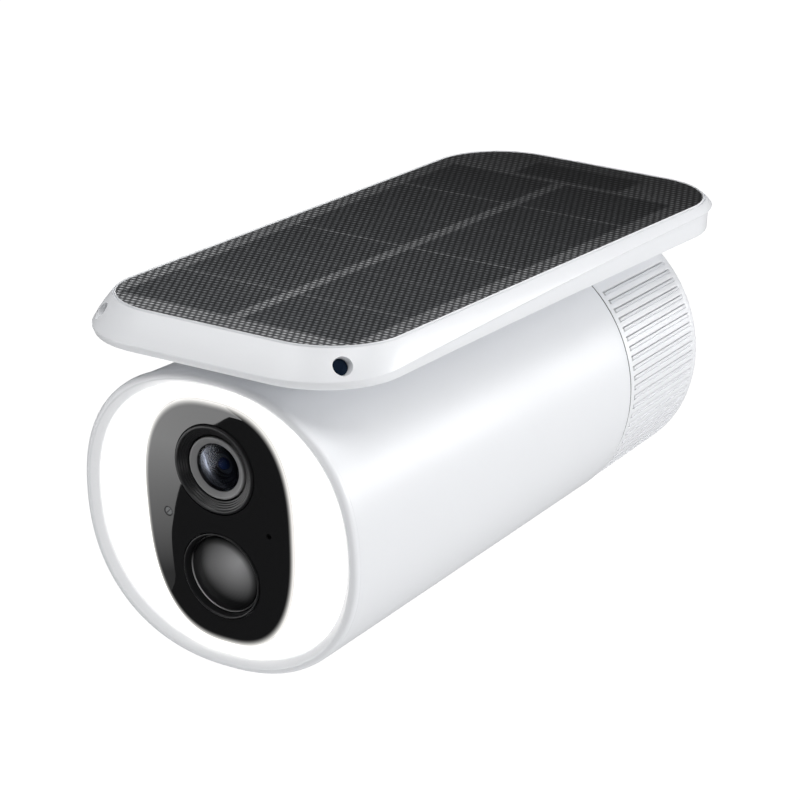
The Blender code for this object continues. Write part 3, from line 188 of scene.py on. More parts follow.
# Middle and half width of each string of cells, of both strings' length, and of the patch each way.
CELLS_ACROSS = (19.2 * MM, 17.3 * MM)
CELLS_ALONG = (-112.7 * MM, 78.7 * MM)
PATCH_ACROSS = (0.0, 17.5 * MM)
PATCH_ALONG = (-24.3 * MM, 6.7 * MM)
# Each line's y, half width and strength.
CELL_LINES = ((-165.1 * MM, 0.45 * MM, 0.75), (-112.6 * MM, 0.45 * MM, 0.75), (-60.1 * MM, 0.45 * MM, 0.75),
              (-138.8 * MM, 0.3 * MM, 0.35), (-86.0 * MM, 0.3 * MM, 0.35))
LINE_EDGE = 0.2 * MM
# Between the dots and on their crowns, whose paler colour is a painted highlight on each dot; and how much
# paler a painted sheen makes the front end than the rear.
MARGIN_COLOURS = ((0.022, 0.0225, 0.0235), (0.25, 0.254, 0.26))
CELL_COLOURS = ((0.007, 0.0075, 0.008), (0.095, 0.098, 0.103))
CLOUD_COLOUR = (0.01, 0.011, 0.013)
LAMINATE_SHEEN_SCALE = (2.6, 0.25)


# ---- shader helpers

def fill(tree, target, inputs):
    """Set a shader node's inputs, or link them where a socket is given."""
    for key, value in inputs.items():
        if isinstance(value, bpy.types.NodeSocket):
            tree.links.new(value, target.inputs[key])
        else:
            target.inputs[key].default_value = value


def node(tree, kind, inputs=None, **settings):
    """Add a shader node, set its properties and fill its inputs."""
    made = tree.nodes.new("ShaderNode" + kind)
    for name, value in settings.items():
        setattr(made, name, value)
    fill(tree, made, inputs or {})
    return made


def maths(tree, operation, *values):
    return node(tree, "Math", dict(enumerate(values)), operation=operation).outputs[0]


def plus(tree, first, second):
    return maths(tree, "ADD", first, second)


def minus(tree, first, second):
    return maths(tree, "SUBTRACT", first, second)


def times(tree, first, second):
    return maths(tree, "MULTIPLY", first, second)


def length(tree, across, along):
    return maths(tree, "SQRT", plus(tree, times(tree, across, across), times(tree, along, along)))


def blend_colours(tree, share, first, second):
    """Mix two colours, given as tuples or sockets."""
    ends = [(*colour, 1.0) if isinstance(colour, tuple) else colour for colour in (first, second)]
    return node(tree, "Mix", {0: share, 6: ends[0], 7: ends[1]}, data_type="RGBA").outputs[2]


def remap(tree, value, low, high, new_low, new_high):
    return node(tree, "MapRange", {0: value, 1: low, 2: high, 3: new_low, 4: new_high}).outputs[0]


def drift(tree, value, new_low, new_high):
    """Noise lies mostly between 0.3 and 0.7: spread that over a new range."""
    return remap(tree, value, 0.3, 0.7, new_low, new_high)


def new_material(name):
    made = bpy.data.materials.new("look_" + name)
    made.use_nodes = True
    return made, made.node_tree, made.node_tree.nodes["Principled BSDF"]


def object_axes(tree):
    """The point's x, y and z in the piece's own frame, in metres."""
    return node(tree, "SeparateXYZ", {0: node(tree, "TexCoord").outputs["Object"]}).outputs


def texture_point(tree, size, stretch=(1.0, 1.0, 1.0)):
    """The point in the piece's own frame, counted in features of a size."""
    point = node(tree, "TexCoord").outputs["Object"]
    return node(tree, "Mapping", {0: point, 3: tuple(1.0 / size * scale for scale in stretch)}).outputs[0]


def noise(tree, size, detail=2.0, stretch=(1.0, 1.0, 1.0)):
    point = texture_point(tree, size, stretch)
    return node(tree, "TexNoise", {0: point, "Scale": 1.0, "Detail": detail}).outputs[0]


def scatter(tree, size):
    """Distance to the nearest of many scattered spots, in spacings of a size."""
    return node(tree, "TexVoronoi", {0: texture_point(tree, size), "Scale": 1.0}).outputs[0]


def painted(tree, name):
    """The level that a piece's points carry under a name."""
    return node(tree, "Attribute", attribute_name=name).outputs["Fac"]


def bump(tree, height, strength, distance):
    return node(tree, "Bump", {"Strength": strength, "Distance": distance, "Height": height}).outputs[0]


def darker(colour, share):
    return tuple(channel * share for channel in colour)


# ---- materials

def moulded(colour, roughness, grain=0.35, depth=0.012, tone=0.965, spread=0.06, specular=0.5, coat=0.0,
            stretch=(1.0, 1.0, 1.0), painted_shade=0.0, *, name):
    """Moulded surface: fine grain, of a size and depth in millimetres, slow drift in colour, smudges, and
    painted shade where a piece's points carry it.
    """
    made, tree, shader = new_material(name)
    slow = noise(tree, 40.0 * MM)
    toned = blend_colours(tree, drift(tree, slow, 0.0, 1.0), colour, darker(colour, tone))
    fleck = remap(tree, scatter(tree, 1.6 * (grain * MM)), 0.0, 0.35, FLECK_SHARE, 0.0)
    flecked = blend_colours(tree, fleck, toned, darker(colour, FLECK_TONE))
    # Painted shade: the colour is darker where the piece's points carry it, in the tilt ring's grooves.
    shade_level = times(tree, painted(tree, "painted_shade"), painted_shade)
    fill(tree, shader, {
        "Base Color": blend_colours(tree, shade_level, flecked, darker(colour, PAINTED_SHADE_TONE)),
        "Roughness": remap(tree, slow, 0.25, 0.75, roughness - spread / 2.0, roughness + spread / 2.0),
        "Normal": bump(tree, noise(tree, grain * MM, 3.0, stretch), 0.6, depth * MM),
        "Specular IOR Level": specular, "Coat Weight": coat, "Coat Roughness": 0.06})
    return made


def turned_metal(colour, roughness, *, name):
    """Machined metal: rings of tool marks round the piece's Y axis, and a little tarnish."""
    made, tree, shader = new_material(name)
    marks = node(tree, "TexWave", {0: texture_point(tree, TOOL_MARK_PITCH, (0.1, 1.0, 0.1)), "Scale": 0.5,
                                   "Distortion": 1.5, "Detail": 2.0}, bands_direction="Y")
    slow = noise(tree, 3.0 * MM, 4.0)
    tarnish = remap(tree, slow, 0.35, 0.7, 0.0, 1.0)
    fill(tree, shader, {
        "Base Color": blend_colours(tree, tarnish, colour, darker(colour, TARNISH_TONE)), "Metallic": 1.0,
        "Roughness": drift(tree, slow, roughness * 0.8, roughness * 1.3),
        "Normal": bump(tree, marks.outputs["Fac"], 0.35, 0.008 * MM)})
    return made


def circuit(mask, track, pads, *, name):
    """Circuit board: solder mask with paler tracks and bright pads."""
    made, tree, shader = new_material(name)
    black, white = (0.0, 0.0, 0.0, 1.0), (1.0, 1.0, 1.0, 1.0)
    lines = node(tree, "TexBrick", {0: texture_point(tree, 3.2 * MM, (1.0, 1.7, 1.0)), "Scale": 1.0,
                                    "Mortar Size": 0.045, "Color1": black, "Color2": black,
                                    "Mortar": white}).outputs[0]
    pad = maths(tree, "LESS_THAN", scatter(tree, 2.1 * MM), 0.18)
    fill(tree, shader, {
        "Base Color": blend_colours(tree, pad, blend_colours(tree, lines, mask, track), pads),
        "Metallic": pad, "Roughness": remap(tree, pad, 0.0, 1.0, 0.38, 0.22),
        "Normal": bump(tree, lines, 0.3, 0.03 * MM)})
    return made


def lattice_height(tree, x, y):
    """Rounded dots on a staggered lattice: 1 on a dot's crown, 0 between dots."""
    across = maths(tree, "DIVIDE", x, LATTICE_PITCH)
    along = maths(tree, "DIVIDE", y, 2.0 * LATTICE_ROW)
    crowns = []
    for shift in (0.0, 0.5):
        u, v = (minus(tree, maths(tree, "FRACT", plus(tree, way, LATTICE_START + shift)), 0.5)
                for way in (across, along))
        crowns.append(length(tree, u, times(tree, v, DOT_STRETCH * LATTICE_ROW / LATTICE_PITCH)))
    return remap(tree, maths(tree, "MINIMUM", *crowns), *DOT_REACH, 1.0, 0.0)


def band(tree, value, middle, half, edge=CELL_EDGE):
    """1 where value is within half of middle, with a soft edge."""
    off = maths(tree, "ABSOLUTE", minus(tree, value, middle))
    return remap(tree, off, half - edge, half + edge, 1.0, 0.0)


def solar_surface(name):
    """Embossed laminate over dark cells: paler margins and dividers, fine solder lines, a dark rear patch;
    each dot's crown painted paler as a highlight, and a painted sheen that lightens the front end and darkens
    the rear.
    """
    made, tree, shader = new_material(name)
    x, y, _ = object_axes(tree)
    crown = lattice_height(tree, x, y)
    cell = times(tree, band(tree, maths(tree, "ABSOLUTE", x), *CELLS_ACROSS), band(tree, y, *CELLS_ALONG))
    for line_y, half, strength in CELL_LINES:
        line = times(tree, band(tree, y, line_y, half, LINE_EDGE), strength)
        cell = times(tree, cell, minus(tree, 1.0, line))
    patch = times(tree, band(tree, x, *PATCH_ACROSS), band(tree, y, *PATCH_ALONG))
    cell = maths(tree, "MAXIMUM", cell, patch)
    # Crowns painted paler than the ground between them, a painted highlight on each dot, with random tone on
    # top.
    dot_sheen_and_tone = plus(tree, crown, drift(tree, noise(tree, 0.9 * MM), -0.12, 0.12))
    margin, dark = (blend_colours(tree, dot_sheen_and_tone, *ends) for ends in (MARGIN_COLOURS, CELL_COLOURS))
    cloud = drift(tree, noise(tree, 30.0 * MM), 0.0, 0.2)
    clouded = blend_colours(tree, cloud, blend_colours(tree, cell, margin, dark), CLOUD_COLOUR)
    # Painted sheen: the colour is scaled up towards the front end and down towards the rear.
    painted_sheen = remap(tree, y, GLASS_FRONT_Y, GLASS_REAR_Y, *LAMINATE_SHEEN_SCALE)
    fill(tree, shader, {
        "Base Color": node(tree, "VectorMath", {0: clouded, 3: painted_sheen}, operation="SCALE").outputs[0],
        "Roughness": remap(tree, crown, 0.0, 1.0, 0.5, 0.33), "Specular IOR Level": 0.45,
        "Normal": bump(tree, crown, 0.85, 0.16 * MM)})
    return made


def lit_diffuser(name):
    """Opal ring in front of the lights: it glows evenly and fades towards the black cover's edge."""
    made, tree, shader = new_material(name)
    glow = painted(tree, "glow")
    even = drift(tree, noise(tree, 12.0 * MM), 0.96, 1.04)
    fill(tree, shader, {
        "Base Color": blend_colours(tree, glow, (0.6, 0.6, 0.6), (0.93, 0.92, 0.9)),
        "Emission Color": blend_colours(tree, glow, (1.0, 0.99, 0.97), RING_LIGHT),
        "Emission Strength": times(tree, times(tree, glow, GLOW_STRENGTH), even), "Roughness": 0.3})
    return made


def cover_reach(tree):
    """How far out on the black cover a point lies: 0 at its middle and 1 on its outline."""
    x, y, z = object_axes(tree)
    back = times(tree, minus(tree, y, FACE_Y), math.sin(FACE_LEAN))
    height = times(tree, minus(tree, z, FACE_Z), math.cos(FACE_LEAN))
    up = maths(tree, "DIVIDE", minus(tree, height, back), COVER_HALF[1])
    egg = maths(tree, "MULTIPLY_ADD", up, COVER_EGG, 1.0)
    across = maths(tree, "DIVIDE", maths(tree, "DIVIDE", x, COVER_HALF[0]), egg)
    powers = [maths(tree, "POWER", maths(tree, "ABSOLUTE", value), COVER_POWER) for value in (across, up)]
    return maths(tree, "POWER", plus(tree, *powers), 1.0 / COVER_POWER)


def glossy_cover(name):
    """Polished tinted cover: near-black, anti-reflection coated; a painted glow along its edge stands in for
    the ring's light.
    """
    made, tree, shader = new_material(name)
    fleck = remap(tree, scatter(tree, 0.7 * MM), 0.0, 0.05, 0.3, 0.0)
    # Painted glow: the cover itself emits light near its outline.
    edge_glow = maths(tree, "POWER", remap(tree, cover_reach(tree), *COVER_GLOW_REACH, 0.0, 1.0), 2.0)
    fill(tree, shader, {
        "Base Color": blend_colours(tree, fleck, (0.0105, 0.0106, 0.0112), (0.03, 0.03, 0.03)),
        "Roughness": drift(tree, noise(tree, 14.0 * MM), 0.008, 0.02), "Specular IOR Level": COVER_SPECULAR,
        "Emission Color": (*RING_LIGHT, 1.0), "Emission Strength": times(tree, edge_glow, EDGE_GLOW_STRENGTH)})
    return made


def sensor_reach(tree, across, up):
    """Distance, seen from the front, from a spot beside the motion sensor's axis."""
    x, _, z = object_axes(tree)
    return length(tree, minus(tree, x, across), minus(tree, z, FACE_Z + SENSOR_Z + up))


def sensor_skin(name):
    """Infrared-clear dome: satin black, with moulded rings and a painted highlight, pale and soft, on its
    upper right.
    """
    made, tree, shader = new_material(name)
    reach = sensor_reach(tree, 0.0, 0.0)
    rings = maths(tree, "SINE", times(tree, reach, 2.0 * math.pi / DOME_RING_PITCH))
    # Painted highlight: a pale spot up and to the right of the dome's axis, fading out before the rim.
    highlight_spot = remap(tree, sensor_reach(tree, DOME_HIGHLIGHT_X, DOME_HIGHLIGHT_UP), 0.0, DOME_HIGHLIGHT_RADIUS, 1.0, 0.0)
    highlight_fade = remap(tree, reach, DOME_HIGHLIGHT_RIM, DOME_RADIUS, 1.0, 0.0)
    painted_highlight = times(tree, maths(tree, "POWER", highlight_spot, DOME_HIGHLIGHT_POWER), highlight_fade)
    ring_share = remap(tree, rings, -1.0, 1.0, 0.0, 1.0)
    dark = blend_colours(tree, ring_share, (0.006, 0.006, 0.0065), (0.009, 0.009, 0.0095))
    fill(tree, shader, {
        "Base Color": blend_colours(tree, painted_highlight, dark, DOME_HIGHLIGHT_COLOUR), "Roughness": 0.4,
        "Specular IOR Level": 0.12, "Normal": bump(tree, rings, 0.12, 0.01 * MM)})
    return made


def trim_skin(name):
    """Satin black trim round the dome, with a painted highlight along its lower left."""
    made, tree, shader = new_material(name)
    x, _, z = object_axes(tree)
    left, down = (times(tree, way, share) for way, share in
                  ((x, -0.62), (minus(tree, z, FACE_Z + SENSOR_Z), -0.78)))
    # Painted highlight: the trim is paler towards its lower left.
    painted_glint = remap(tree, plus(tree, left, down), *TRIM_HIGHLIGHT_REACH, 0.0, 1.0)
    fill(tree, shader, {
        "Base Color": blend_colours(tree, painted_glint, (0.01, 0.01, 0.011), (0.62, 0.62, 0.63)),
        "Roughness": drift(tree, noise(tree, 0.2 * MM), 0.3, 0.42)})
    return made


def clear_front(name):
    """Coated front glass: clear along its axis, with a reflection that strengthens towards its edge."""
    made, tree, shader = new_material(name)
    tree.nodes.remove(shader)
    tint = blend_colours(tree, noise(tree, 5.0 * MM), (0.62, 0.65, 0.72), (0.68, 0.7, 0.76))
    clear = node(tree, "BsdfTransparent", {"Color": tint})
    gloss = node(tree, "BsdfGlossy", {"Color": (0.8, 0.81, 0.83, 1.0), "Roughness": 0.26})
    edge = node(tree, "Fresnel", {"IOR": 1.24})
    mixed = node(tree, "MixShader", {0: edge.outputs[0], 1: clear.outputs[0], 2: gloss.outputs[0]})
    tree.links.new(mixed.outputs[0], tree.nodes["Material Output"].inputs["Surface"])
    return made


def coated_glass(colour, tint, roughness=0.03, specular=0.7, *, name):
    """Dark polished glass with a coloured coating that drifts a little over the surface."""
    made, tree, shader = new_material(name)
    slow = noise(tree, 3.0 * MM)
    fill(tree, shader, {
        "Base Color": blend_colours(tree, slow, colour, tint),
        "Roughness": drift(tree, slow, roughness, roughness * 1.6), "Specular IOR Level": specular,
        "Specular Tint": (*[min(1.0, 0.35 + 8.0 * channel) for channel in tint], 1.0)})
    return made


LOOKS = {
    "white_shell": partial(moulded, SHELL, 0.36, grain=0.3, depth=0.004, tone=0.985),
    # The tilt ring's white, with shade painted into its grooves.
    "white_ring": partial(moulded, SHELL, 0.36, grain=0.3, depth=0.004, tone=0.985, painted_shade=0.6),
    "white_gloss": partial(moulded, SHELL, 0.3, grain=0.5, depth=0.002, tone=0.99),
    "glowing_diffuser": lit_diffuser,
    "gloss_black": glossy_cover,
    "sensor_dome": sensor_skin,
    "trim_black": trim_skin,
    "satin_black": partial(moulded, (0.012, 0.012, 0.013), 0.34, grain=0.2, spread=0.08, specular=0.4),
    "hood_black": partial(moulded, (0.011, 0.011, 0.012), 0.34, grain=0.2, specular=0.32),
    "lens_black": partial(moulded, (0.004, 0.004, 0.005), 0.4, grain=0.2, specular=0.08),
    "grey_cone": partial(moulded, (0.19, 0.19, 0.193), 0.34, grain=0.2, depth=0.006, specular=0.35),
    "lens_front": clear_front,
    "lens_inner": partial(coated_glass, (0.006, 0.012, 0.035), (0.025, 0.06, 0.19), 0.03, 0.4),
    "eye_glass": partial(coated_glass, (0.006, 0.012, 0.024), (0.009, 0.017, 0.036), 0.2, 0.12),
    "faint_print": partial(moulded, (0.05, 0.05, 0.052), 0.4, grain=0.3, specular=0.1),
    "clear_guide": partial(moulded, (0.2, 0.205, 0.21), 0.22, grain=0.3, coat=0.4),
    "circuit_green": partial(circuit, (0.01, 0.12, 0.05), (0.03, 0.24, 0.11), (0.8, 0.74, 0.5)),
    "white_board": partial(circuit, (0.8, 0.8, 0.78), (0.7, 0.7, 0.68), (0.86, 0.8, 0.55)),
    "solar_laminate": solar_surface,
    "solar_cell": partial(coated_glass, (0.008, 0.01, 0.02), (0.012, 0.018, 0.05), 0.2),
    "steel": partial(turned_metal, (0.62, 0.62, 0.63), 0.28),
    "brass": partial(turned_metal, (0.74, 0.53, 0.24), 0.27),
    "grey_plastic": partial(moulded, (0.12, 0.125, 0.13), 0.5, grain=0.5, tone=0.8),
    "acetal": partial(moulded, (0.72, 0.71, 0.66), 0.38, grain=0.6, tone=0.95),
    "rubber": partial(moulded, (0.62, 0.63, 0.65), 0.7, grain=0.25, depth=0.02, specular=0.3),
    "cell_wrap": partial(moulded, (0.04, 0.2, 0.5), 0.3, grain=4.0, depth=0.02,
                         stretch=(1.0, 0.2, 1.0), coat=0.5),
    "filter_glass": partial(coated_glass, (0.04, 0.1, 0.1), (0.06, 0.16, 0.17)),
}
made_looks = {}


def look(name):
    """The material of that name, made when it is first asked for."""
    if name not in made_looks:
        made_looks[name] = LOOKS[name](name=name)
    return made_looks[name]


# ---- mesh helpers

def mix(start, end, share):
    return start + (end - start) * share


def filleted(corners, steps=4):
    """A profile of (a, b, radius) corners in millimetres, rounded, as (a, b) points in metres."""
    points = []
    for index, (a, b, radius) in enumerate(corners):
        here = Vector((a, b))
        if radius <= 0.0:
            points.append(here * MM)
            continue
        before = Vector(corners[index - 1][:2]) - here
        after = Vector(corners[(index + 1) % len(corners)][:2]) - here
        reach = min(radius, 0.49 * before.length, 0.49 * after.length)
        start, end = here + before.normalized() * reach, here + after.normalized() * reach
        for step in range(steps + 1):
            share = step / steps
            low, high = start.lerp(here, share), here.lerp(end, share)
            points.append(low.lerp(high, share) * MM)
    return [(point.x, point.y) for point in points]


def skin(rings, closed=False):
    """Faces through rings of points: closed joins the last ring to the first, else both ends are capped."""
    shape = bmesh.new()
    rows = [[shape.verts.new(point) for point in ring] for ring in rings]
    pairs = list(zip(rows, rows[1:]))
    if closed:
        pairs.append((rows[-1], rows[0]))
    for near, far in pairs:
        for index, corner in enumerate(near):
            after = (index + 1) % len(near)
            shape.faces.new((corner, near[after], far[after], far[index]))
    if not closed:
        shape.faces.new(rows[0])
        shape.faces.new(rows[-1])
    bmesh.ops.recalc_face_normals(shape, faces=shape.faces[:])
    return shape


def circle(radius, y, sides=ROUND_SIDES, centre=(0.0, 0.0)):
    turns = [2.0 * math.pi * (step + 0.4) / sides for step in range(sides)]
    return [(centre[0] + radius * math.cos(turn), y, centre[1] + radius * math.sin(turn)) for turn in turns]


def turned(profile, sides=ROUND_SIDES, centre=(0.0, 0.0), closed=False):
    """A shape turned round an axis along Y, from (radius, y) points."""
    return skin([circle(max(radius, 0.01 * MM), y, sides, centre) for radius, y in profile], closed)


def box_shape(low, high):
    shape = bmesh.new()
    size, centre = Vector(high) - Vector(low), (Vector(high) + Vector(low)) / 2.0
    bmesh.ops.create_cube(shape, size=1.0, matrix=Matrix.Translation(centre) @ Matrix.Diagonal((*size, 1.0)))
    return shape


def post(radius, low_z, high_z, y):
    shape = bmesh.new()
    place = Matrix.Translation((0.0, y, (low_z + high_z) / 2.0))
    bmesh.ops.create_cone(shape, cap_ends=True, segments=48, radius1=radius, radius2=radius,
                          depth=high_z - low_z, matrix=place)
    return shape


def linked(name, data):
    """A new object in the scene that shows a mesh, a light or a camera."""
    made = bpy.data.objects.new(name, data)
    bpy.context.scene.collection.objects.link(made)
    return made


def to_object(name, shape):
    mesh = bpy.data.meshes.new(name)
    shape.to_mesh(mesh)
    shape.free()
    mesh.shade_smooth()
    return linked(name, mesh)


def paint(piece, name, levels):
    """Store a level for each point of a piece, for its look to read."""
    painted_on = piece.data.attributes.new(name, "FLOAT", "POINT")
    for index, level in enumerate(levels):
        painted_on.data[index].value = level


def cut_all(piece, cutters):
    """Cut the shapes from the piece and bake the result into its mesh."""
    helpers = [to_object("cutter", shape) for shape in cutters]
    for helper in helpers:
        change = piece.modifiers.new("cut", "BOOLEAN")
        change.operation = "DIFFERENCE"
        change.solver = "EXACT"
        change.object = helper
    graph = bpy.context.evaluated_depsgraph_get()
    graph.update()
    baked = bpy.data.meshes.new_from_object(piece.evaluated_get(graph))
    piece.modifiers.clear()
    piece.data = baked
    for helper in helpers:
        bpy.data.objects.remove(helper)


def place_piece(piece, body, look_name, replaced=(), sharp=30.0):
    """Finish a piece: its material, its body, and the CAD nodes that it stands for."""
    piece.data.materials.clear()
    piece.data.materials.append(look(look_name))
    piece.data.shade_smooth()
    piece.data.set_sharp_from_angle(angle=math.radians(sharp))
    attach(piece, body)
    if replaced:
        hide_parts(*replaced)


def superellipse(half_width, half_height, power, sides=SIDES):
    points = []
    for step in range(sides):
        turn = 2.0 * math.pi * step / sides
        across, up = math.cos(turn), math.sin(turn)
        points.append((half_width * math.copysign(abs(across) ** (2.0 / power), across),
                       half_height * math.copysign(abs(up) ** (2.0 / power), up)))
    return points


def rim_ring(inset, depth):
    outline = superellipse(RIM_HALF[0] - inset, RIM_HALF[1] - inset, RIM_POWER)
    return [(across, depth, up) for across, up in outline]


def cover_ring(grow, depth, scale=1.0):
    outline = superellipse(COVER_HALF[0] * scale + grow, COVER_HALF[1] * scale + grow, COVER_POWER)
    return [(across * (1.0 + COVER_EGG * up / COVER_HALF[1]), depth, up) for across, up in outline]


def barrel_ring(share, inset):
    half_width = mix(RIM_HALF[0], REAR_RADIUS, share) - inset
    half_height = mix(RIM_HALF[1], REAR_RADIUS, share) - inset
    lean = FACE_LEAN * (1.0 - share)
    y, z = mix(FACE_Y, BARREL_REAR_Y, share), mix(FACE_Z, 0.0, share)
    outline = superellipse(half_width, half_height, mix(RIM_POWER, 2.0, share))
    return [(across, y - up * math.sin(lean), z + up * math.cos(lean)) for across, up in outline]


def barrel_bottom_z(y):
    return mix(FACE_Z - RIM_HALF[1], -REAR_RADIUS, (y - FACE_Y) / BARREL_LENGTH)


def in_face(shape):
    """Move a shape from the face plane's own frame to its place on the object."""
    bmesh.ops.transform(shape, matrix=FACE_PLACE, verts=shape.verts[:])
    return shape


# ---- barrel and face

def build_barrel():
    stations = 40
    rings = []
    for rise, inset in ((0.0, 0.55), (0.02, 0.3), (0.1, 0.12), (0.25, 0.03), (0.45, 0.0)):
        rings.append(barrel_ring(BARREL_FRONT_SHARE + rise * MM / BARREL_LENGTH, inset * MM))
    for step in range(1, stations):
        rings.append(barrel_ring(mix(BARREL_FRONT_SHARE, 1.0, step / stations), 0.0))
    for rise, inset in ((-0.3, 0.0), (-0.12, 0.02), (-0.03, 0.08), (0.0, 0.18), (0.0, 2.0)):
        rings.append(barrel_ring(1.0 + rise * MM / BARREL_LENGTH, inset * MM))
    for step in range(6):
        rings.append(barrel_ring(mix(0.998, BARREL_FRONT_SHARE, step / 5), BARREL_WALL))
    shell = to_object("barrel_skin", skin(rings, closed=True))
    bottom = barrel_bottom_z(BUTTON_Y)
    low, high = bottom - 5.0 * MM, bottom + 9.0 * MM
    cutters = [box_shape((-PORT_HALF_WIDTH, PORT_Y[0], low), (PORT_HALF_WIDTH, PORT_Y[1], high)),
               post(BUTTON_RADIUS, low, high, BUTTON_Y)]
    for index in range(-2, 3):
        middle, half = SPEAKER_Y + index * SPEAKER_PITCH, (8.0 - 1.2 * abs(index)) * MM
        cutters.append(box_shape((-half, middle - SPEAKER_HALF_SLOT, bottom - 9.0 * MM),
                                 (half, middle + SPEAKER_HALF_SLOT, high)))
    cut_all(shell, cutters)
    place_piece(shell, "camera", "white_shell", ["barrel_shell"])


def build_bezel():
    corners = [(0.0, 2.4, 0.2), (0.05, 1.2, 0.6), (0.5, 0.4, 0.5), (1.5, 0.0, 0.6), (1.95, 0.1, 0.3),
               (3.8, 1.7, 0.3), (4.1, 2.5, 0.2), (4.1, 6.0, 0.1), (3.2, 6.0, 0.1), (3.2, 2.0, 0.1)]
    rings = [rim_ring(inset, depth) for inset, depth in filleted(corners, 7)]
    bezel = to_object("bezel_skin", in_face(skin(rings, closed=True)))
    place_piece(bezel, "camera", "white_gloss", ["front_bezel"])


def build_diffuser():
    """A gently swollen ring from the rim to the cover; each ring of points carries how brightly it glows."""
    outer = [(4.17, 4.6, 0.55), (4.17, 2.4, 0.8), (4.3, 2.0, 1.0), (4.7, 1.76, 1.0), (5.3, 1.62, 1.0)]
    inner = [(3.4, 1.4, 1.0), (2.2, 1.38, 1.0), (1.5, 1.38, 1.0), (1.0, 1.42, 0.93), (0.65, 1.5, 0.75),
             (0.35, 1.58, 0.45), (0.16, 1.72, 0.2), (0.1, 2.2, 0.0), (0.1, 4.6, 0.0)]
    rings = [rim_ring(inset * MM, depth * MM) for inset, depth, _ in outer]
    edge, lip = rings[-1], cover_ring(inner[0][0] * MM, inner[0][1] * MM)
    steps = 9
    for step in range(1, steps):
        share = step / steps
        swell = DIFFUSER_SWELL * math.sin(math.pi * share)
        rings.append([(mix(a[0], b[0], share), mix(a[1], b[1], share) - swell, mix(a[2], b[2], share))
                      for a, b in zip(edge, lip)])
    rings += [cover_ring(grow * MM, depth * MM) for grow, depth, _ in inner]
    glow = [level for _, _, level in outer] + [1.0] * (steps - 1) + [level for _, _, level in inner]
    ring = to_object("diffuser_skin", in_face(skin(rings, closed=True)))
    paint(ring, "glow", [level for level in glow for _ in range(SIDES)])
    place_piece(ring, "camera", "glowing_diffuser", ["light_diffuser"])


def cover_depth(scale):
    """Depth of the cover's crowned front, and of its rounded edge, below the face plane."""
    roll = max(0.0, (scale - COVER_ROLL) / (1.0 - COVER_ROLL))
    return 0.12 * MM + COVER_CROWN * scale ** 2 + COVER_ROLL_DROP * roll ** 2


def build_cover():
    scales = [0.004, 0.1, 0.2, 0.3, 0.4, 0.5, 0.6, 0.7, 0.78, 0.85, 0.9, 0.93, 0.95, 0.96, 0.97, 0.98,
              0.99, 1.0]
    rings = [cover_ring(0.0, cover_depth(scale), scale) for scale in scales]
    rings += [cover_ring(0.03 * MM, cover_depth(1.0) + 0.08 * MM), cover_ring(0.03 * MM, 4.2 * MM),
              cover_ring(-2.0 * MM, 4.2 * MM), cover_ring(-2.4 * MM, 2.6 * MM)]
    holes = ((12.6 * MM, 0.0, LENS_Z), (12.3 * MM, 0.0, SENSOR_Z), (0.8 * MM, *SIDE_PORT),
             (1.4 * MM, -SIDE_PORT[0], SIDE_PORT[1]))
    cover = to_object("cover_skin", skin(rings))
    cut_all(cover, [turned([(radius, -3.0 * MM), (radius, 9.0 * MM)], ROUND_SIDES, (x, z))
                    for radius, x, z in holes])
    cover.data.transform(FACE_PLACE)
    place_piece(cover, "camera", "gloss_black", ["face_cover"])


def face_turned(name, corners, look_name, centre, replaced=(), steps=4):
    """A turned piece of the face, from a rounded (radius, depth) profile in millimetres."""
    shape = in_face(turned(filleted(corners, steps), ROUND_SIDES, centre, closed=True))
    place_piece(to_object(name, shape), "camera", look_name, replaced)


def face_lens(name, profile, look_name, centre, replaced=(), sides=ROUND_SIDES, sharp=30.0):
    """A solid turned piece of the face, from plain (radius, depth) points in millimetres."""
    shape = in_face(turned([(radius * MM, depth * MM) for radius, depth in profile], sides, centre))
    place_piece(to_object(name, shape), "camera", look_name, replaced, sharp)


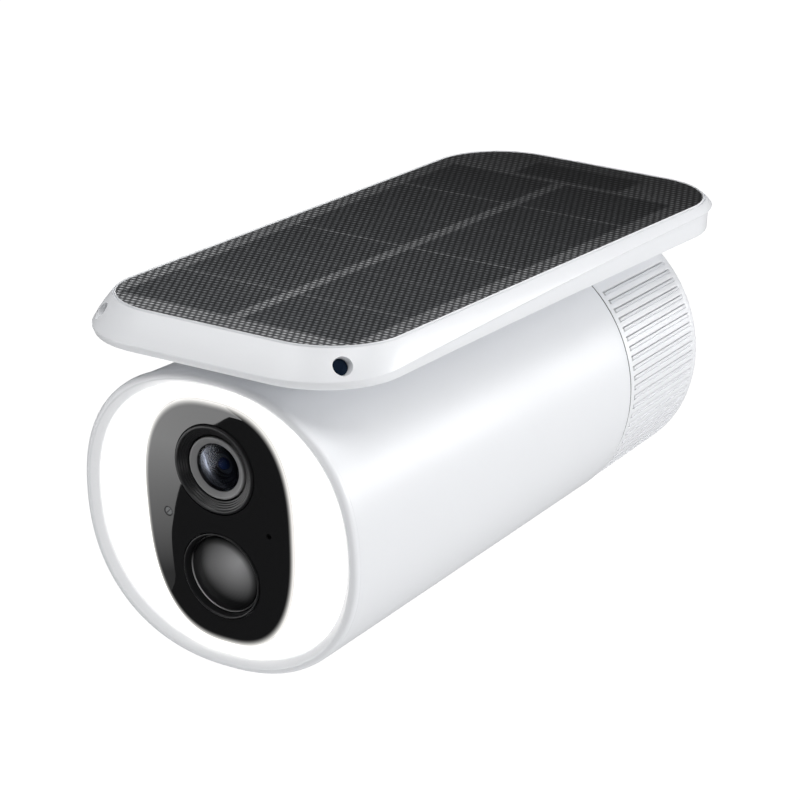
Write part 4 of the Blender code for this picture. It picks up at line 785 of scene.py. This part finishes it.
def build_lens():
    place = (0.0, LENS_Z)
    hood = [(12.3, 5.0, 0.0), (12.3, 0.15, 0.2), (12.0, 0.0, 0.15), (11.4, 0.0, 0.15), (11.2, 0.42, 0.08),
            (10.75, 0.46, 0.08), (10.6, 0.82, 0.06), (10.25, 0.86, 0.06), (10.1, 1.22, 0.06),
            (9.75, 1.26, 0.06), (9.6, 1.62, 0.06), (9.25, 1.66, 0.06), (9.2, 5.0, 0.0)]
    face_turned("lens_hood_skin", hood, "hood_black", place, ["lens_hood_ring"], steps=2)
    cone = [(8.7, 6.0, 0.0), (8.7, 1.5, 0.2), (8.4, 1.3, 0.15), (8.0, 1.35, 0.15), (6.9, 1.9, 0.15),
            (6.68, 2.02, 0.08), (6.65, 6.0, 0.0)]
    face_turned("lens_cone_skin", cone, "grey_cone", place, ["lens_cone_ring"])
    glass = [(0.01, 0.75), (0.7, 0.76), (1.3, 0.8), (2.0, 0.87), (2.8, 0.98), (3.7, 1.16), (4.4, 1.33),
             (5.0, 1.5), (5.7, 1.72), (6.3, 1.9), (6.52, 2.0), (6.57, 2.2), (6.57, 4.4), (6.1, 4.4),
             (5.9, 2.5), (4.4, 1.9), (2.8, 1.5), (1.2, 1.3), (0.01, 1.27)]
    face_lens("lens_glass_skin", glass, "lens_front", place, ["lens_front_glass"])
    throat = [(5.9, 4.8, 0.05), (5.9, 3.0, 0.1), (4.9, 3.1, 0.1), (4.7, 3.6, 0.1), (3.8, 3.7, 0.1),
              (3.6, 4.2, 0.1), (2.9, 4.3, 0.1), (2.8, 5.1, 0.05), (4.4, 5.2, 0.05)]
    face_turned("lens_stop_rings", throat, "lens_black", place)
    pupil = [(0.01, 3.3), (0.5, 3.38), (1.0, 3.62), (1.4, 4.0), (1.65, 4.5), (1.7, 4.95)]
    face_lens("lens_inner_glass", pupil, "lens_inner", place, sides=48)


def build_sensor():
    place = (0.0, SENSOR_Z)
    seat = [(12.0, 5.0, 0.0), (12.0, 0.25, 0.2), (11.75, 0.1, 0.15), (11.4, 0.3, 0.15), (11.1, 2.2, 0.1),
            (11.1, 5.0, 0.0)]
    face_turned("sensor_seat_skin", seat, "hood_black", place, ["motion_sensor_seat"])
    trim = [(10.95, 4.0, 0.0), (10.95, 2.15, 0.12), (10.65, 2.0, 0.12), (10.5, 2.2, 0.08), (10.5, 4.0, 0.0)]
    face_turned("sensor_trim_ring", trim, "trim_black", place)
    radius, rise, base = DOME_RADIUS / MM, DOME_RISE / MM, DOME_EDGE_DEPTH / MM
    sphere = (radius ** 2 + rise ** 2) / (2.0 * rise)
    steps = 20
    turns = [math.asin(radius / sphere) * step / steps for step in range(steps + 1)]
    dome = [(sphere * math.sin(turn), base - rise + sphere * (1.0 - math.cos(turn))) for turn in turns]
    dome += [(radius, 2.6), (radius, 5.0)]
    face_lens("sensor_dome_skin", dome, "sensor_dome", place, ["motion_sensor_dome"],
              sharp=60.0)


def build_status_light():
    """A thin moulded ring round the status light, with a short bar across it."""
    place = (-SIDE_PORT[0], SIDE_PORT[1])
    ring = [(1.35, 2.0, 0.0), (1.35, 0.62, 0.08), (1.05, 0.6, 0.08), (1.0, 0.9, 0.05), (1.0, 2.0, 0.0)]
    face_turned("status_light_ring", ring, "faint_print", place, steps=2)
    window = [(0.01, 1.0, 0.0), (0.9, 1.0, 0.0), (0.9, 1.6, 0.0), (0.01, 1.6, 0.0)]
    face_turned("status_light_window", window, "lens_black", place)
    shape = box_shape((-0.95 * MM, 0.66 * MM, -0.14 * MM), (0.95 * MM, 1.2 * MM, 0.14 * MM))
    tilt = Matrix.Translation((place[0], 0.0, place[1])) @ Matrix.Rotation(math.radians(-45.0), 4, "Y")
    bmesh.ops.transform(shape, matrix=tilt, verts=shape.verts[:])
    place_piece(to_object("status_light_bar", in_face(shape)), "camera", "faint_print")


# ---- tilt ring and rear

def ring_outline(radius, rise, groove):
    """Section (x, z) of the tilt ring and its points' painted shade; grooves run round it below the neck.

    A groove is a list of (offset in degrees, share of the depth, painted shade), from its lower wall to its
    upper one, beside which the shade is painted. It is mirrored on the other side of the ring's bottom.
    """
    points = []
    start, stop = 180.0 - NECK_EDGE_ANGLE, 360.0 + NECK_EDGE_ANGLE
    grooves = int((stop - start) / GROOVE_PITCH)
    first = start + 0.5 * ((stop - start) - grooves * GROOVE_PITCH)
    half = 0.5 * GROOVE_PITCH * GROOVE_SHARE
    lower_wall = [(-half + offset, share, 0.0) for offset, share in
                  ((-0.16, 0.0), (-0.08, 0.06), (-0.02, 0.35), (0.05, 0.85), (0.16, 1.0))]
    # The upper wall and the floor beside it carry painted shade, standing in for the shadow that this wall
    # casts.
    upper_wall = [(half + offset, share, groove_shade) for offset, share, groove_shade in
                  ((-0.6, 1.0, 0.0), (-0.46, 1.4, 0.5), (-0.34, 2.2, 1.0), (-0.08, 2.3, 1.0),
                   (-0.02, 1.2, 1.0), (0.08, 0.4, 0.95), (0.24, 0.1, 0.85))]
    painted_shade = []
    for index in range(grooves):
        middle = first + (index + 0.5) * GROOVE_PITCH
        # The painted shade is strongest near the ring's bottom and halves towards the neck.
        away = min(1.0, abs(middle - RING_BOTTOM) / 110.0)
        fade = mix(1.0, 0.5, away)
        spread = min(1.0, 1.9 * (1.0 - away))
        wall = lower_wall + upper_wall + [(half + 0.42, 0.0, 0.85 * spread), (half + 0.9, 0.0, 0.0)]
        if middle < RING_BOTTOM:
            wall = [(-offset, share, groove_shade) for offset, share, groove_shade in reversed(wall)]
        for offset, share, groove_shade in wall:
            turn = math.radians(middle + offset)
            reach = radius - groove * share
            points.append((reach * math.cos(turn), rise + reach * math.sin(turn)))
            painted_shade.append(groove_shade * fade)
    edge = math.radians(NECK_EDGE_ANGLE)
    shoulder = Vector((radius * math.cos(edge), rise + radius * math.sin(edge)))
    tangent = Vector((-math.sin(edge), math.cos(edge)))
    top = Vector((NECK_HALF_WIDTH, NECK_TOP_Z))
    bend = shoulder + tangent * (0.5 * (top - shoulder).length)
    side = []
    for step in range(13):
        share = step / 12
        side.append(tuple(shoulder.lerp(bend, share).lerp(bend.lerp(top, share), share)))
    points += side
    points += [(NECK_HALF_WIDTH * share, NECK_TOP_Z) for share in (0.75, 0.5, 0.25, 0.0, -0.25, -0.5, -0.75)]
    points += [(-x, z) for x, z in reversed(side)]
    return points, painted_shade + [0.0] * (len(points) - len(painted_shade))


def ring_stations():
    """Along the ring, front to rear: inset in millimetres, share of groove depth, y, and painted shade behind
    the grooves' front ends.
    """
    stations = [(0.2, 0.0, RING_FRONT_Y, 0.0), (0.07, 0.0, RING_FRONT_Y + 0.04 * MM, 0.0),
                (0.0, 0.0, RING_FRONT_Y + 0.2 * MM, 0.0)]
    # Just behind each groove's front end the floor carries painted shade, standing in for the end wall's
    # shadow.
    for run, groove, groove_shade in ((-0.06, 0.0, 0.0), (-0.02, 0.1, 0.5), (0.03, 0.7, 1.0), (0.1, 1.0, 1.0),
                              (1.15, 1.0, 1.0), (1.4, 1.0, 0.0)):
        stations.append((0.0, groove, GROOVE_FRONT_Y + run * MM, groove_shade))
    stations.append((0.0, 1.0, mix(GROOVE_FRONT_Y, GROOVE_REAR_Y, 0.5), 0.0))
    for run, groove in ((-1.0, 1.0), (-0.4, 0.6), (0.0, 0.25), (0.2, 0.08), (0.4, 0.0)):
        stations.append((0.0, groove, GROOVE_REAR_Y + run * MM, 0.0))
    for step in range(9):
        turn = math.radians(86.0 * step / 8)
        stations.append((RING_REAR_ROUND / MM * (1.0 - math.cos(turn)), 0.0,
                         mix(RING_ROUND_Y, RING_REAR_Y, math.sin(turn)), 0.0))
    return stations


def build_tilt_ring():
    rings, painted_shade = [], []
    for inset, groove, y, front_shade in ring_stations():
        share = (y - RING_FRONT_Y) / (RING_REAR_Y - RING_FRONT_Y)
        radius, rise = mix(RING_FRONT_RADIUS, RING_REAR_RADIUS, share) - inset * MM, RING_REAR_RISE * share
        points, groove_shade = ring_outline(radius, rise, groove * GROOVE_DEPTH)
        rings.append([(x, y, z) for x, z in points])
        # Each point's painted shade: along the grooves' upper walls, and behind their front ends.
        for (x, z), level in zip(points, groove_shade):
            sunk = radius - math.hypot(x, z - rise) > 0.3 * groove * GROOVE_DEPTH
            painted_shade.append(max(level * min(1.0, groove), front_shade if sunk else 0.0))
    bearings = [math.atan2(z, x) for x, _, z in rings[0]]
    for y, radius in ((RING_REAR_Y, RING_BORE + 0.4 * MM), (RING_REAR_Y - 0.4 * MM, RING_BORE),
                      (RING_FRONT_Y, RING_BORE)):
        rings.append([(radius * math.cos(turn), y, radius * math.sin(turn)) for turn in bearings])
    ring = to_object("tilt_ring_skin", skin(rings, closed=True))
    paint(ring, "painted_shade", painted_shade)
    place_piece(ring, "solar_panel", "white_ring", ["tilt_ring"], 24.0)
    # A dark ring set in the seam, standing in for the shade inside the gap between barrel and tilt ring.
    inner, outer = SEAM_SHADE_RADII
    seam_shade = [(inner, SEAM_SHADE_Y[0], 0.0), (outer, SEAM_SHADE_Y[0], 0.05), (outer, SEAM_SHADE_Y[1], 0.05),
            (inner, SEAM_SHADE_Y[1], 0.0)]
    shape = turned(filleted(seam_shade), 128, closed=True)
    place_piece(to_object("seam_shade_ring", shape), "camera", "satin_black")


def cap_screw_places():
    turns = [math.radians(CAP_SCREW_START + 120.0 * index) for index in range(3)]
    return [(CAP_SCREW_CIRCLE * math.cos(turn), CAP_SCREW_CIRCLE * math.sin(turn)) for turn in turns]


def build_rear_cap():
    edge, front = CAP_RADIUS / MM, CAP_FRONT_Y / MM
    corners = [(9.7, -22.0, 0.0), (9.7, front, 0.0), (edge, front, 0.15), (edge, 0.0, 1.1), (19.4, 0.0, 0.15),
               (19.1, -0.35, 0.1), (18.8, 0.0, 0.15), (7.2, 0.0, 0.1)]
    cap = to_object("rear_cap_skin", turned(filleted(corners), 128))
    outside = 3.0 * MM
    cutters = [turned([(INSERT_RADIUS + GAP, -11.5 * MM), (INSERT_RADIUS + GAP, outside)], 64)]
    for place in cap_screw_places():
        cutters.append(turned([(1.6 * MM, -16.0 * MM), (1.6 * MM, outside)], 24, place))
        cutters.append(turned([(2.9 * MM, -4.5 * MM), (2.9 * MM, outside)], 48, place))
    cut_all(cap, cutters)
    place_piece(cap, "camera", "white_shell", ["rear_cap"])


def build_insert():
    """Brass insert with a real thread inside and a waist between its outer bands."""
    sides, rows = 48, 60
    waist, rear = INSERT_RADIUS - 0.5 * MM, -INSERT_LENGTH
    outer = [(INSERT_RADIUS, rear), (INSERT_RADIUS, rear + 2.4 * MM), (waist, rear + 2.6 * MM),
             (waist, rear + 3.4 * MM), (INSERT_RADIUS, rear + 3.6 * MM), (INSERT_RADIUS, -0.35 * MM),
             (INSERT_RADIUS - 0.15 * MM, -0.2 * MM), (THREAD_RADIUS + 0.7 * MM, -0.2 * MM)]
    rings = [circle(radius, y, sides) for radius, y in outer]
    for row in range(rows + 1):
        y = mix(-0.75 * MM, -INSERT_LENGTH, row / rows)
        ring = []
        for step in range(sides):
            turn = 2.0 * math.pi * (step + 0.4) / sides
            phase = (y / THREAD_PITCH + turn / (2.0 * math.pi)) % 1.0
            radius = THREAD_RADIUS + THREAD_DEPTH * abs(2.0 * phase - 1.0)
            ring.append((radius * math.cos(turn), y, radius * math.sin(turn)))
        rings.append(ring)
    insert = to_object("mount_insert_skin", skin(rings, closed=True))
    place_piece(insert, "camera", "brass", ["mount_insert"], 25.0)


# ---- solar panel

def panel_outline(half_front, half_rear, front_y, rear_y, corner, height):
    points = []
    corners = [(1.0, -90.0, front_y + corner), (1.0, 0.0, rear_y - corner),
               (-1.0, 90.0, rear_y - corner), (-1.0, 180.0, front_y + corner)]
    for side, first, centre_y in corners:
        for step in range(CORNER_STEPS + 1):
            turn = math.radians(first + 90.0 * step / CORNER_STEPS)
            y = centre_y + corner * math.sin(turn)
            half = mix(half_front, half_rear, (y - front_y) / (rear_y - front_y))
            points.append((side * (half - corner) + corner * math.cos(turn), y, height(y)))
        if first in (0.0, 180.0):
            continue
        for step in range(1, 12):
            share = step / 12
            y = mix(front_y + corner, rear_y - corner, share if side > 0 else 1.0 - share)
            half = mix(half_front, half_rear, (y - front_y) / (rear_y - front_y))
            points.append((side * half, y, height(y)))
    return points


def panel_ring(grow, depth):
    return panel_outline(GLASS_HALF_WIDTH + grow, GLASS_HALF_WIDTH + grow, GLASS_FRONT_Y - grow,
                         GLASS_REAR_Y + grow, GLASS_CORNER + grow, lambda y: PANEL_TOP_Z - depth)


def forward_share(y):
    """0 at the glass's rear end and 1 at its front end."""
    return 1.0 - min(1.0, max(0.0, (y - GLASS_FRONT_Y) / (GLASS_REAR_Y - GLASS_FRONT_Y)))


def crease_z(y):
    """The crease under the frame's bevel: it drops towards the front."""
    return PANEL_TOP_Z - mix(CREASE_REAR_DEPTH, CREASE_FRONT_DEPTH, forward_share(y) ** 1.7)


def skirt_z(y):
    """The frame's lower edge: it hangs a little lower towards the front."""
    return PANEL_BOTTOM_Z - SKIRT_DROP * forward_share(y) ** 3


def frame_ring(margins, height):
    """A ring of the frame's outside, from its margins round the glass in millimetres."""
    sides_front, sides_rear, front, rear, corner = margins
    return panel_outline(GLASS_HALF_WIDTH + sides_front * MM, GLASS_HALF_WIDTH + sides_rear * MM,
                         GLASS_FRONT_Y - front * MM, GLASS_REAR_Y + rear * MM,
                         GLASS_CORNER + corner * MM, height)


def through(first, middle, last, share):
    """The parabola through three values at shares 0, 0.5 and 1."""
    return (first * (2.0 * share - 1.0) * (share - 1.0) + middle * 4.0 * share * (1.0 - share)
            + last * share * (2.0 * share - 1.0))


def bevel_ring(share):
    """A ring of the frame's convex bevel, from its top edge at share 0 to its crease at 1."""
    margins = [through(*trio, share) for trio in zip(TOP_MARGINS, SHOULDER_MARGINS, CREASE_MARGINS)]
    drop = through(0.0, SHOULDER_SHARE, 1.0, share)
    return frame_ring(margins, lambda y: mix(PANEL_TOP_Z - BEVEL_TOP, crease_z(y), drop))


def along(facing, spot, profile, sides=48):
    """A solid turned round a direction, from (radius, reach) points, at a spot."""
    turn = facing.to_track_quat("Z", "Y").to_matrix()
    angles = [2.0 * math.pi * (step + 0.3) / sides for step in range(sides)]
    return skin([[spot + turn @ Vector((radius * math.cos(angle), radius * math.sin(angle), reach))
                  for angle in angles] for radius, reach in profile])


def eye_places():
    """Each light sensor's name, sizes, spot and facing."""
    places = []
    for side, side_name in ((1.0, "right"), (-1.0, "left")):
        for end_name, eye, centre_y in (("front", FRONT_EYE, GLASS_FRONT_Y + GLASS_CORNER),
                                        ("rear", REAR_EYE, GLASS_REAR_Y - GLASS_CORNER)):
            turn, rise = math.radians(eye["bearing"]), math.radians(eye["slope"])
            reach = GLASS_CORNER + eye["spread"] * MM
            spot = Vector((side * (GLASS_HALF_WIDTH - GLASS_CORNER + reach * math.cos(turn)),
                           centre_y + reach * math.sin(turn), PANEL_TOP_Z - eye["below_top"] * MM))
            look_turn, flat = math.radians(eye["look"]), math.cos(rise)
            facing = Vector((side * math.cos(look_turn) * flat, math.sin(look_turn) * flat, math.sin(rise)))
            places.append((f"{end_name}_{side_name}", eye, spot, facing))
    return places


# Rings below the bevel: margins in millimetres, the edge that each follows, and its height above that.
UNDER_BEVEL = (((3.8, 2.6, 7.6, 3.0, 3.38), crease_z, -0.18), ((3.74, 2.0, 7.5, 2.3, 3.1), crease_z, -0.5),
               ((3.45, 1.75, 6.75, 2.05, 2.8), skirt_z, 0.5), ((3.34, 1.64, 6.45, 1.94, 2.7), skirt_z, 0.2),
               ((3.15, 1.45, 6.15, 1.75, 2.5), skirt_z, 0.05), ((2.8, 1.2, 5.8, 1.5, 2.2), skirt_z, 0.0),
               ((2.2, 0.6, 5.1, 0.9, 1.6), skirt_z, 0.05))
FOOT_MARGINS = (1.9, 0.3, 4.6, 0.6, 1.2)


def build_frame():
    lip = [panel_ring(grow * MM, depth * MM) for grow, depth in
           ((0.1, 0.12), (0.16, -0.03), (0.27, -0.1), (0.42, -0.1), (0.53, -0.03), (0.58, 0.12), (0.62, 0.5),
            (0.7, 0.56), (0.84, 0.56), (0.9, 0.4))]
    bevel = [bevel_ring(step / BEVEL_STEPS) for step in range(BEVEL_STEPS)]
    bevel += [bevel_ring(0.97), bevel_ring(1.0)]
    lower = [frame_ring(margins, lambda y: edge_z(y) + dot_sheen_and_tone * MM) for margins, edge_z, dot_sheen_and_tone in UNDER_BEVEL]
    lower.append(frame_ring(FOOT_MARGINS, lambda y: PANEL_BOTTOM_Z))
    inside = [panel_ring(-FRAME_LEDGE, PANEL_DEPTH), panel_ring(-FRAME_LEDGE, LEDGE_DEPTH),
              panel_ring(0.12 * MM, LEDGE_DEPTH)]
    piece = to_object("panel_frame_skin", skin(lip + bevel + lower + inside, closed=True))
    cutters = []
    for _, eye, spot, facing in eye_places():
        radius, mouth, depth, sink = (eye[key] * MM for key in ("radius", "mouth", "depth", "sink"))
        profile = [(radius, -depth), (radius, -sink), (mouth, 0.0), (mouth, 5.0 * MM)]
        cutters.append(along(facing, spot, profile))
    cut_all(piece, cutters)
    place_piece(piece, "solar_panel", "white_shell", ["panel_frame"], 22.0)
    for name, eye, spot, facing in eye_places():
        radius, depth, front = eye["radius"] * MM - EYE_CLEARANCE, eye["depth"] * MM, -eye["sink"] * MM
        profile = [(radius, 0.1 * MM - depth), (radius, front - 0.15 * MM),
                   (radius - 0.04 * MM, front - 0.06 * MM), (radius - 0.12 * MM, front - 0.02 * MM),
                   (0.7 * radius, front), (0.02 * MM, front)]
        disc = to_object(f"eye_{name}", along(facing, spot, profile))
        place_piece(disc, "solar_panel", "eye_glass", [f"light_sensor_{name}"])


def build_laminate():
    edge = ((-20.0, 0.05), (-0.35, 0.05), (-0.15, 0.08), (-0.02, 0.2), (-0.02, 0.8))
    laminate = to_object("laminate_skin", skin([panel_ring(grow * MM, depth * MM) for grow, depth in edge]))
    place_piece(laminate, "solar_panel", "solar_laminate", ["panel_laminate"])


# ---- carried-over CAD nodes

def dress_cad_nodes():
    """Give every CAD node that no piece stands for the look of its record slot."""
    slots = {part["node"]: part["material_slot"] for part in frame["record"]["subparts"]}
    for name, piece in frame["nodes"].items():
        look_name = "lens_inner" if slots[name] == "lens_glass" else slots[name]
        piece.data.materials.clear()
        piece.data.materials.append(look(look_name))


# ---- stage

CAMERA_PLACE = Vector((0.5549, -0.9486, 0.3474))
CAMERA_AZIMUTH = math.radians(33.64)
CAMERA_ELEVATION = math.radians(18.77)
CAMERA_ROLL = math.radians(1.0)
CAMERA_LENS = 174.24
SENSOR_WIDTH = 36.0
FLOOR_Z = -1.4
STAGE_RADIUS = 14.0
STUDIO_MIDDLE = Vector((0.0, -0.1, 0.0))
LIGHT_DISTANCE = 1.6

# Softboxes: azimuth and elevation in degrees, width and height in metres, and power in watts.
SOFTBOXES = {
    "front_left_high": (-28.0, 56.0, (1.0, 0.6), 9.0),
    "left_low": (-60.0, 20.0, (1.0, 0.6), 0.4),
    "right_high": (60.0, 60.0, (1.0, 0.6), 9.2),
    "right_rear_low": (130.0, 10.0, (1.0, 0.4), 10.3),
    "right_rear_high": (130.0, 35.0, (1.0, 0.5), 4.1),
    "right_side": (90.0, 36.0, (1.4, 0.3), 1.0),
    "right_low": (75.0, -14.0, (1.0, 0.5), 2.8),
    "left_top": (-90.0, 62.0, (1.0, 0.6), 5.2),
}

# A reflector card in front of the face, low on its left: only glossy surfaces see it. Its outline's corners,
# in millimetres from its middle, are softened; its light rises from dim to bright between two heights.
CARD_TOWARDS = Vector((-0.57, -0.65, -0.49)).normalized()
CARD_DISTANCE = 0.7
CARD_OUTLINE = ((-300, -75), (-82, -75), (-81, -16), (-66, 2), (-47, 19), (12, 67), (40, 84), (62, 90),
                (86, 95), (98, 125), (115, 250), (140, 500), (-300, 500))
CARD_BRIGHT = 3.9
CARD_DIM = 0.3
CARD_FADE = (-45.0 * MM, 60.0 * MM)
STAGE_GLOW = 1.07
WORLD_GLOW = 0.02
WHITE = (1.0, 1.0, 1.0)


def add_camera():
    turn = (Matrix.Rotation(CAMERA_AZIMUTH, 4, "Z")
            @ Matrix.Rotation(0.5 * math.pi - CAMERA_ELEVATION, 4, "X") @ Matrix.Rotation(CAMERA_ROLL, 4, "Z"))
    data = bpy.data.cameras.new("camera")
    data.lens = CAMERA_LENS
    data.sensor_width = SENSOR_WIDTH
    data.clip_start = 0.01
    data.clip_end = 50.0
    camera = linked("camera", data)
    camera.matrix_world = Matrix.Translation(CAMERA_PLACE) @ turn
    bpy.context.scene.camera = camera


def towards(azimuth, elevation):
    """Unit direction of a place seen from the object: azimuth 0 is in front of it, 90 on its right."""
    a, e = math.radians(azimuth), math.radians(elevation)
    return Vector((math.sin(a) * math.cos(e), -math.cos(a) * math.cos(e), math.sin(e)))


def add_softbox(name, azimuth, elevation, size, power):
    """A rectangular area light aimed at the object."""
    data = bpy.data.lights.new(name, "AREA")
    data.shape = "RECTANGLE"
    data.size, data.size_y = size
    data.energy = power
    light = linked(name, data)
    heading = towards(azimuth, elevation)
    light.location = STUDIO_MIDDLE + heading * LIGHT_DISTANCE
    light.rotation_euler = (-heading).to_track_quat("-Z", "Y").to_euler()
    light.visible_camera = False


def glowing(name):
    """A plain stage material that glows, with its shader nodes."""
    made, tree, shader = new_material(name)
    fill(tree, shader, {"Base Color": (0.1, 0.1, 0.1, 1.0), "Roughness": 1.0, "Specular IOR Level": 0.0,
                        "Emission Color": (*WHITE, 1.0), "Emission Strength": STAGE_GLOW})
    return made, tree, shader


def softened(outline, rounds=3):
    """A closed outline with its corners cut off, again and again, into a smooth curve."""
    for _ in range(rounds):
        smoother = []
        for (x, y), (next_x, next_y) in zip(outline, outline[1:] + outline[:1]):
            smoother += [(mix(x, next_x, share), mix(y, next_y, share)) for share in (0.25, 0.75)]
        outline = tuple(smoother)
    return outline


def add_card():
    """Put the reflector card before the face."""
    across = Vector((0.0, 0.0, 1.0)).cross(CARD_TOWARDS).normalized()
    upward = CARD_TOWARDS.cross(across)
    middle = Vector((0.0, FACE_Y, FACE_Z)) + CARD_TOWARDS * CARD_DISTANCE
    shape = bmesh.new()
    shape.faces.new([shape.verts.new((x * MM, y * MM, 0.0)) for x, y in softened(CARD_OUTLINE)])
    card = to_object("low_card", shape)
    turn = Matrix((across, upward, CARD_TOWARDS)).transposed().to_4x4()
    card.matrix_world = Matrix.Translation(middle) @ turn
    made, tree, shader = glowing("low_card")
    level = remap(tree, object_axes(tree)[1], *CARD_FADE, CARD_DIM, CARD_BRIGHT)
    fill(tree, shader, {"Emission Strength": level})
    card.data.materials.append(made)
    card.visible_camera = card.visible_diffuse = card.visible_shadow = False


def add_stage():
    scene = bpy.context.scene
    scene.view_settings.view_transform = "Standard"
    scene.world = bpy.data.worlds.new("studio")
    scene.world.use_nodes = True
    studio = scene.world.node_tree
    fill(studio, studio.nodes["Background"], {0: (*WHITE, 1.0), 1: WORLD_GLOW})
    pale = glowing("pale")[0]
    shape = bmesh.new()
    bmesh.ops.create_grid(shape, x_segments=8, y_segments=8, size=STAGE_RADIUS)
    floor = to_object("floor", shape)
    floor.location = (0.0, 0.0, FLOOR_Z)
    shape = bmesh.new()
    bmesh.ops.create_icosphere(shape, subdivisions=4, radius=STAGE_RADIUS)
    backdrop = to_object("backdrop", shape)
    backdrop.visible_diffuse = backdrop.visible_glossy = backdrop.visible_shadow = False
    backdrop.visible_transmission = floor.visible_glossy = False
    for piece in (floor, backdrop):
        piece.data.materials.append(pale)
    for name, place in SOFTBOXES.items():
        add_softbox(name, *place)
    add_card()


for build in (build_barrel, build_bezel, build_diffuser, build_cover, build_lens, build_sensor,
              build_status_light, build_tilt_ring, build_rear_cap, build_insert, build_frame, build_laminate):
    build()
dress_cad_nodes()
add_camera()
add_stage()
